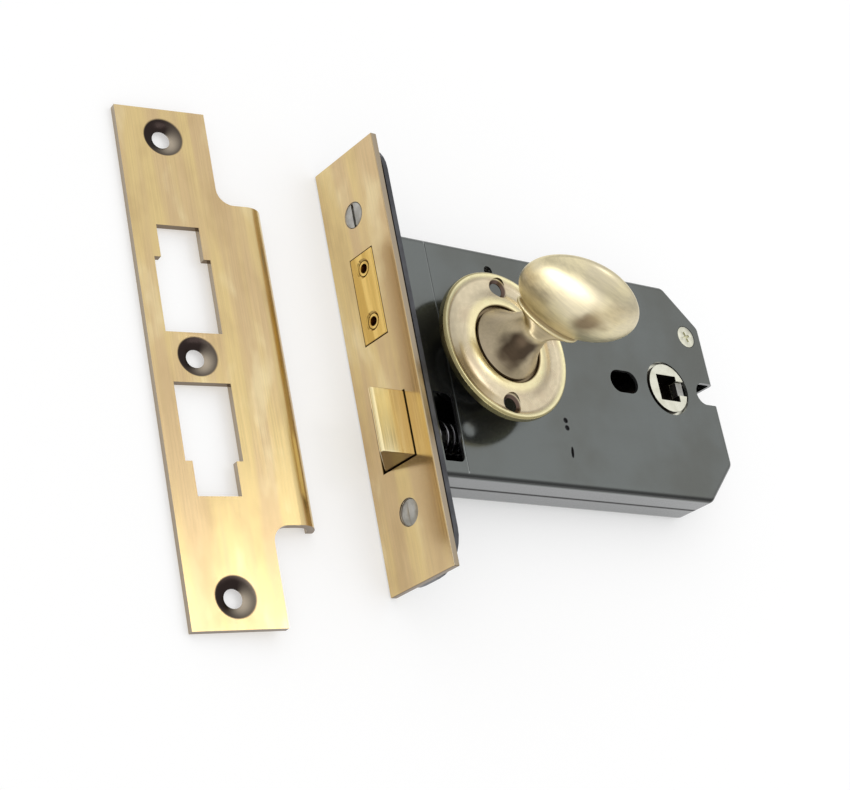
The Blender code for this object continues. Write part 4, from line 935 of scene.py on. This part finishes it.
def case_openings():
    low, top = HALF_CASE - CASE_SHEET - PAST, HALF_CASE + PAST
    half = THROUGH_SLOT_LENGTH / 2
    head = CASE_SCREW_HEAD_R + FIT_GAP
    shank = CASE_SCREW_SHANK_R + SLIDE_GAP
    neck = HALF_CASE - head + shank
    sink = [(0, top), (head, top), (head, HALF_CASE), (shank, neck)]
    sink += [(shank, neck - PAST), (0, neck - PAST)]
    notch = stadium(NOTCH_FRONT, CASE_REAR + THROUGH_WIDTH, THROUGH_WIDTH)
    radii = [WINDOW_FRONT_CORNER, WINDOW_CORNER, WINDOW_CORNER, WINDOW_FRONT_CORNER]
    return [
        moved(drum(HUB_HOLE_R, low, top, 96), at(FOLLOWER_X, 0)),
        moved(drum(TURN_HOLE_R, low, top), at(TURN_X, 0)),
        moved(extruded(stadium(-half, half, THROUGH_WIDTH), low, top), at(THROUGH_SLOT_X, 0)),
        extruded(notch, -PAST, top),
        extruded(rounded(rectangle(WINDOW_LOW, WINDOW_HIGH), radii, 12), low, top),
        moved(turned(sink), at(*CASE_SCREW)),
        moved(drum(FRONT_HOLE_R, low, top, 48), at(*FRONT_HOLE)),
    ]


def stake_marks():
    low, top = HALF_CASE - MARK_DEPTH, HALF_CASE + PAST
    line = stadium(-MARK_LENGTH / 2, MARK_LENGTH / 2, MARK_WIDTH, 10)
    marks = [moved(extruded(line, low, top), at(MARK_X, MARK_Y, 0, MARK_ANGLE))]
    for rise in DOT_RISES:
        marks.append(moved(drum(DOT_R, low, top, 24), at(MARK_X, MARK_Y + rise)))
    return marks


def case_upper():
    sheet = {"thickness": CASE_SHEET, "offset": -1, "use_even_offset": True}
    shell = modified(case_surface(), ("SOLIDIFY", sheet))
    crease_low = (CREASE_X - CREASE_WIDTH / 2, -HALF_HEIGHT, HALF_CASE - CREASE_DEPTH)
    crease = block(crease_low, (CREASE_X + CREASE_WIDTH / 2, HALF_HEIGHT, HALF_CASE + PAST))
    shell = cut(shell, crease, *case_openings())
    shell = softened(shell, CASE_HOLE_EDGE, segments=2, angle=60)
    piece("case_upper", cut(shell, *stake_marks()))


# Fine pieces: deadbolt


def deadbolt_head():
    face = -DEADBOLT_PROUD
    half = DEADBOLT_WIDTH / 2
    head = block((face, DEADBOLT_LOW, -half), (DEADBOLT_REAR, DEADBOLT_HIGH, half))
    head = softened(head, DEADBOLT_EDGE, 4)
    slot = TAIL_THICK / 2 + SLIDE_GAP
    slot_low = (DEADBOLT_REAR - DEADBOLT_SLOT, DEADBOLT_LOW - PAST, -slot)
    rivet = drum(TAIL_RIVET_R + FIT_GAP, -half - PAST, half + PAST)
    hole = BOLT_PIN_R + FIT_GAP
    far = -BOLT_PIN_SINK - BOLT_PIN_LENGTH + DEADBOLT_PROUD - FIT_GAP
    low = DEADBOLT_PROUD - BOLT_RING_DEPTH
    bore = [(0, PAST), (BOLT_RING_R, PAST), (BOLT_RING_R, DEADBOLT_PROUD)]
    bore += [(hole, low), (hole, far), (0, far)]
    cutters = [moved(turned(bore), at(0, y), FACING_FRONT) for y in BOLT_PIN_YS]
    cutters.append(block(slot_low, (DEADBOLT_REAR + PAST, TAIL_HIGH + SLIDE_GAP, slot)))
    cutters.append(moved(rivet, at(TAIL_RIVET_X, (TAIL_LOW + TAIL_STEP + TAIL_HIGH) / 2)))
    piece("deadbolt_head", cut(head, *cutters))


def deadbolt_pins():
    top = DEADBOLT_PROUD - BOLT_PIN_SINK
    floor = top - BOLT_PIN_BORE
    low = top - BOLT_PIN_LENGTH
    profile = [(0, floor), (BOLT_PIN_BORE_R, floor), (BOLT_PIN_BORE_R, top), (BOLT_PIN_R, top)]
    for number, y in enumerate(BOLT_PIN_YS, 1):
        pin = softened(turned(profile + [(BOLT_PIN_R, low), (0, low)]), SCREW_EDGE, 2)
        piece(f"deadbolt_pin_{number}", moved(pin, at(0, y), FACING_FRONT))


# Fine pieces: latch


def latch_head():
    half = LATCH_THICK / 2
    corners = [(LATCH_REAR, -half), (LATCH_REAR, half)]
    corners += [(-LATCH_POINT, half), (LATCH_BEVEL_END, -half)]
    outline = rounded(corners, [0, 0, LATCH_NOSE_R, 0], 16)
    head = moved(extruded(outline, -LATCH_HIGH, -LATCH_LOW), ALONG_Y)
    head = softened(head, LATCH_EDGE, 4)
    inside = half - LATCH_EDGE - SCREW_EDGE
    rear = LATCH_REAR - LATCH_EDGE - SCREW_EDGE
    stop_low = (LATCH_REAR - LATCH_STOP_LENGTH, LATCH_LOW - LATCH_STOP, -inside)
    head = join(head, block(stop_low, (rear, LATCH_HIGH + LATCH_STOP, inside)))
    rod = drum(ROD_R + FIT_GAP, -LATCH_REAR - PAST, FIT_GAP - ROD_FRONT)
    piece("latch_head", cut(head, moved(rod, at(0, LATCH_Y), FACING_FRONT)))


def latch_spring():
    """A coil along x whose end turns are drawn together."""
    near, far = SPRING_NEAR + SPRING_WIRE_R, SPRING_FAR - SPRING_WIRE_R
    steps = 48
    count = SPRING_TURNS * steps
    curve = bpy.data.curves.new("spring", "CURVE")
    curve.dimensions = "3D"
    curve.bevel_depth = SPRING_WIRE_R
    curve.bevel_resolution = 4
    curve.use_fill_caps = True
    spline = curve.splines.new("POLY")
    spline.points.add(count)
    for i, point in enumerate(spline.points):
        part = i / count
        eased = part + SPRING_END_TURN * math.sin(2 * math.pi * part)
        angle = 2 * math.pi * i / steps
        x = near + (far - near) * eased
        point.co = (x, LATCH_Y + SPRING_R * math.cos(angle), SPRING_R * math.sin(angle), 1)
    spring = piece("latch_spring", modified(curve))
    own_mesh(spring)


# Fine pieces: bathroom turn and rose


def oval(long, short, z, lens=2.0, steps=128):
    """A ring at one height: an ellipse, or with a lower lens value one with sharper ends."""
    ring = []
    for i in range(steps):
        angle = 2 * math.pi * i / steps
        along, across = math.cos(angle), math.sin(angle)
        x = math.copysign(abs(along) ** (2 / lens), along)
        y = math.copysign(abs(across) ** (2 / lens), across)
        ring.append((long * x, short * y, z))
    return ring


def stem_profile():
    """Round sections from the boss, past the circlip's groove and the flange, up the stem."""
    profile = [
        (BOSS_R, BOSS_BOTTOM),
        (BOSS_R, GROOVE_LOW),
        (GROOVE_R, GROOVE_LOW),
        (GROOVE_R, GROOVE_HIGH),
        (BOSS_R, GROOVE_HIGH),
        (BOSS_R, FLANGE_Z),
    ]
    spot = (STEM_BASE_R - STEM_EDGE, FLANGE_Z + STEM_EDGE)
    profile += arc(spot, STEM_EDGE, -RIGHT_ANGLE, 0, 6)
    steps = 36
    for i in range(steps + 1):
        part = i / steps
        radius = NECK_R + (STEM_BASE_R - NECK_R) * (1 - part) ** STEM_CURVE
        profile.append((radius, STEM_BASE_TOP + (NECK_Z - STEM_BASE_TOP) * part))
    return profile


def knob_rings():
    """Sections of the knob from the boss up: round, then oval, then the flat oval paddle."""
    rings = [oval(radius, radius, z) for radius, z in stem_profile()]
    flare_steps = 10
    for i in range(1, flare_steps):
        part = i / flare_steps
        long = NECK_R + (LIP_LONG - LIP_EDGE - NECK_R) * part**FLARE_CURVE
        short = NECK_R + (LIP_SHORT - LIP_EDGE - NECK_R) * part
        rings.append(oval(long, short, NECK_Z + (LIP_LOW - NECK_Z) * part))
    middle = (LIP_LOW + LIP_HIGH) / 2
    half = (LIP_HIGH - LIP_LOW) / 2
    for out, rise in arc((0, 0), 1.0, -RIGHT_ANGLE, RIGHT_ANGLE, 10):
        grow = LIP_EDGE * (out - 1)
        rings.append(oval(LIP_LONG + grow, LIP_SHORT + grow, middle + half * rise))
    start = math.asin((LIP_HIGH + LIP_EDGE - PADDLE_CENTRE) / PADDLE_TALL)
    paddle_steps = 64
    for i in range(paddle_steps):
        angle = start + (RIGHT_ANGLE - start) * i / paddle_steps
        share = math.cos(angle)
        z = PADDLE_CENTRE + PADDLE_TALL * math.sin(angle)
        rings.append(oval(PADDLE_LONG * share, PADDLE_SHORT * share, z, PADDLE_LENS))
    return rings


def turn_knob():
    knob = moved(skin(knob_rings()), at(TURN_X, 0, 0, KNOB_ANGLE))
    half = SPINDLE_SQUARE / 2 + FIT_GAP
    low = (TURN_X - half, -half, BOSS_BOTTOM - PAST)
    reach = BOSS_R + PAST
    socket = block(low, (TURN_X + half, half, SPINDLE_TOP + SLIDE_GAP))
    pin = drum(CROSS_PIN_R + FIT_GAP, -reach, reach, 24)
    pin = moved(pin, at(TURN_X, 0, CROSS_PIN_Z), FACING_FRONT)
    piece("turn_knob", cut(knob, socket, pin))


def slope(first, last, steps=24):
    """A soft step in a profile, level at both of its ends."""
    points = []
    for i in range(steps + 1):
        part = i / steps
        rise = (1 - math.cos(math.pi * part)) / 2
        radius = first[0] + (last[0] - first[0]) * part
        points.append((radius, first[1] + (last[1] - first[1]) * rise))
    return points


def rose_profile():
    """A dished cover: a soft collar round the stem, a flat ring and a rolled rim."""
    crest = ROSE_HOLE_R + ROSE_COLLAR_ROUND
    rim = ROSE_R - ROSE_RIM_R
    under_valley = ROSE_VALLEY_TOP - ROSE_SHEET
    profile = [(ROSE_HOLE_R, ROSE_LEDGE_TOP)]
    round_spot = (crest, ROSE_COLLAR_TOP - ROSE_COLLAR_ROUND)
    profile += arc(round_spot, ROSE_COLLAR_ROUND, math.pi, RIGHT_ANGLE, 12)
    profile += slope((crest, ROSE_COLLAR_TOP), (ROSE_VALLEY_R, ROSE_VALLEY_TOP))[1:]
    profile += slope((rim - ROSE_RIM_SLOPE, ROSE_VALLEY_TOP), (rim, ROSE_RIM_TOP))[:-1]
    profile += arc((rim, ROSE_RIM_TOP - ROSE_RIM_R), ROSE_RIM_R, RIGHT_ANGLE, 0, 12)
    return profile + [
        (ROSE_R, ROSE_BOTTOM),
        (ROSE_R - ROSE_SHEET, ROSE_BOTTOM),
        (ROSE_R - ROSE_SHEET, under_valley),
        (ROSE_VALLEY_R - ROSE_SHEET, under_valley),
        (ROSE_HOLE_R + ROSE_SHEET, ROSE_LEDGE_LOW),
        (BOSS_R + SLIDE_GAP, ROSE_LEDGE_LOW),
        (BOSS_R + SLIDE_GAP, ROSE_LEDGE_TOP),
    ]


def turn_rose():
    cover = moved(turned(rose_profile(), 144), at(TURN_X, 0))
    low = ROSE_BOTTOM - PAST
    sheet = ROSE_VALLEY_TOP - ROSE_SHEET + FIT_GAP
    profile = [
        (0, ROSE_COLLAR_TOP),
        (ROSE_COUNTERSINK_R, ROSE_COLLAR_TOP),
        (ROSE_COUNTERSINK_R, ROSE_VALLEY_TOP),
        (ROSE_SCREW_HOLE_R, sheet),
        (ROSE_SCREW_HOLE_R, low),
        (0, low),
    ]
    holes = [moved(turned(profile, 64), at(*spot)) for spot in ROSE_SCREW_SPOTS]
    piece("turn_rose", cut(cover, *holes))


# Fine pieces: rear follower


def follower_hub():
    upper = [(0, HUB_TOP), (HUB_R, HUB_TOP)]
    upper += [(HUB_R, HUB_SHOULDER_Z), (HUB_SHOULDER_R, HUB_SHOULDER_Z)]
    lower = [(radius, -height) for radius, height in upper[::-1]]
    half = HORN_WIDTH / 2
    thick = HORN_THICK / 2
    hub = join(
        turned(upper + lower),
        block((-half, -HORN_LOW, -thick), (half, -HUB_R, thick)),
        block((-half, HUB_R, -thick), (half, HORN_HIGH, thick)),
    )
    side = HUB_SQUARE / 2
    square = block((-side, -side, -HUB_TOP - PAST), (side, side, HUB_TOP + PAST))
    grip_low = (side - PAST, GRIP_Y - GRIP_WIDTH / 2, HUB_TOP - GRIP_DEPTH)
    grip_high = (HUB_SHOULDER_R + PAST, GRIP_Y + GRIP_WIDTH / 2, HUB_TOP + PAST)
    hub = cut(hub, square, block(grip_low, grip_high))
    piece("follower_hub", moved(softened(hub, HUB_EDGE, 3), at(FOLLOWER_X, 0)))


# Fine pieces: strike plate, in axes of its own with z = 0 on its top face


def strike_outline():
    """The flat plate, with a fillet where each end of the lip leaves its right edge."""
    low = STRIKE_LIP_Y - STRIKE_LIP_HALF
    high = STRIKE_LIP_Y + STRIKE_LIP_HALF
    spot = STRIKE_HALF + STRIKE_FILLET
    outline = [(-STRIKE_HALF, -STRIKE_END), (STRIKE_HALF, -STRIKE_END)]
    outline += arc((spot, low - STRIKE_FILLET), STRIKE_FILLET, math.pi, RIGHT_ANGLE, 16)
    outline += [(STRIKE_LIP_START, low), (STRIKE_LIP_START, high)]
    outline += arc((spot, high + STRIKE_FILLET), STRIKE_FILLET, -RIGHT_ANGLE, -math.pi, 16)
    return outline + [(STRIKE_HALF, STRIKE_END), (-STRIKE_HALF, STRIKE_END)]


def strike_curl():
    """The quarter round at the edge of the lip, down to the table."""
    centre = (STRIKE_LIP_START, -STRIKE_CURL_R)
    overlap = STRIKE_LIP_START - PAST
    outline = [(overlap, -STRIKE_THICK)]
    outline += arc(centre, STRIKE_CURL_R - STRIKE_THICK, RIGHT_ANGLE, 0, 24)
    outline += arc(centre, STRIKE_CURL_R, 0, RIGHT_ANGLE, 24)
    outline.append((overlap, 0))
    low = -STRIKE_LIP_Y - STRIKE_LIP_HALF
    return moved(extruded(outline, low, low + 2 * STRIKE_LIP_HALF), ALONG_Y)


def strike_plate():
    plate = join(extruded(strike_outline(), -STRIKE_THICK, 0), strike_curl())
    through = -STRIKE_THICK - PAST
    steps = (
        (STRIKE_WIDE / 2, STRIKE_WINDOW_LOW, STRIKE_WINDOW_STEP),
        (STRIKE_NARROW / 2, STRIKE_WINDOW_STEP - PAST, STRIKE_WINDOW_HIGH),
    )
    cutters = []
    for side in (1, -1):
        for half, first, last in steps:
            low, high = sorted((STRIKE_LIP_Y + side * first, STRIKE_LIP_Y + side * last))
            cutters.append(block((-half, low, through), (half, high, PAST)))
    land = STRIKE_LAND - STRIKE_THICK
    profile = [
        (0, PAST),
        (STRIKE_COUNTERSINK_R, PAST),
        (STRIKE_COUNTERSINK_R, 0),
        (STRIKE_HOLE_R, land),
        (STRIKE_HOLE_R, through),
        (0, through),
    ]
    cutters += [moved(turned(profile), at(0, y)) for y in STRIKE_HOLE_YS]
    plate = cut(plate, *cutters)
    piece("strike_plate", softened(plate, STRIKE_EDGE, segments=2, angle=50), STRIKE)


# Floor, light and camera


# The floor reaches 4 m each way, a little below the part. A glow of its own, by share and
# strength, shows it white past the shadows.
FLOOR_SIZE = 4.0
FLOOR_DROP = 0.2
FLOOR_GLOW_SHARE = 0.4
FLOOR_GLOW = 1.12

# The world's strength at two heights of the view, and the side that the bright card is on
STUDIO_HEIGHTS = (0.08, 0.75)
STUDIO_STRENGTHS = (0.55, 0.95)
CARD_AZIMUTH = -123


def floor():
    """A wide pale floor that shows white to the camera and keeps a soft shadow."""
    form = bmesh.new()
    bmesh.ops.create_grid(form, x_segments=1, y_segments=1, size=FLOOR_SIZE)
    mesh = mesh_of(form, "floor")
    item = placed("floor", mesh)
    item.location.z = -FLOOR_DROP * MM
    surface = Surface("floor")
    mesh.materials.append(surface.finish((1, 1, 1), roughness=0.9, metallic=0.0))
    surface.feed(surface.shader, {"Specular IOR Level": 0.0})
    path = surface.add("ShaderNodeLightPath").outputs
    seen = surface.math("MAXIMUM", path["Is Camera Ray"], path["Is Glossy Ray"])
    glow = surface.add("ShaderNodeEmission", {"Strength": FLOOR_GLOW})
    looks = {1: surface.shader.outputs[0], 2: glow.outputs[0]}
    share = surface.times(seen, FLOOR_GLOW_SHARE)
    mix = surface.add("ShaderNodeMixShader", {"Fac": share, **looks})
    surface.feed(surface.nodes["Material Output"], {"Surface": mix.outputs[0]})


def softbox(name, azimuth, elevation, distance, size, power):
    """A soft lamp that faces the middle of the scene, placed by its angles in degrees."""
    data = bpy.data.lights.new(name, "AREA")
    data.shape = "RECTANGLE"
    data.size, data.size_y = size
    data.energy = power
    item = placed(name, data)
    around = Matrix.Rotation(math.radians(azimuth), 3, "Z")
    away = around @ Matrix.Rotation(-math.radians(elevation), 3, "Y")
    item.location = away @ Vector((distance, 0, 0))
    item.rotation_euler = (-item.location).to_track_quat("-Z", "Y").to_euler()
    item.visible_camera = False
    return item


def light():
    """A studio bright above and dimmer near the horizon, with a lamp above and a low card."""
    world = bpy.data.worlds.new("studio")
    bpy.context.scene.world = world
    studio = Nodes(world)
    _, _, height = studio.parts(studio.add("ShaderNodeTexCoord").outputs["Generated"])
    strength = studio.span(height, *STUDIO_HEIGHTS, *STUDIO_STRENGTHS)
    camera_ray = studio.add("ShaderNodeLightPath").outputs["Is Camera Ray"]
    seen = studio.span(camera_ray, 0.0, 1.0, strength, 1.0)
    studio.feed(studio.nodes["Background"], {"Color": (1, 1, 1), "Strength": seen})
    softbox("overhead", azimuth=22, elevation=74, distance=1.2, size=(0.36, 0.36), power=0.88)
    card = softbox("card", CARD_AZIMUTH, elevation=1, distance=0.30, size=(0.25, 0.22), power=1.0)
    # The card lies flat near the floor and shines upwards, not at the middle
    card.rotation_euler = (math.pi, 0, math.radians(CARD_AZIMUTH))


def camera():
    data = bpy.data.cameras.new("camera")
    data.sensor_fit = "HORIZONTAL"
    data.sensor_width = SENSOR_WIDTH
    data.lens = SENSOR_WIDTH * FOCAL_PIXELS / PICTURE_WIDTH
    data.clip_start = 0.01
    item = placed("camera", data)
    looking = (CAMERA_TARGET - CAMERA_PLACE).to_track_quat("-Z", "Y").to_matrix().to_4x4()
    roll = Matrix.Rotation(CAMERA_ROLL, 4, "Z")
    item.matrix_world = Matrix.Translation(CAMERA_PLACE) @ looking @ roll
    bpy.context.scene.camera = item


forend_plate()
forend_screw(1)
forend_screw(2)
case_upper()
case_screw()
deadbolt_head()
deadbolt_pins()
latch_head()
latch_spring()
turn_knob()
turn_rose()
follower_hub()
strike_plate()

floor()
light()
camera()
bpy.context.scene.view_settings.view_transform = "Standard"
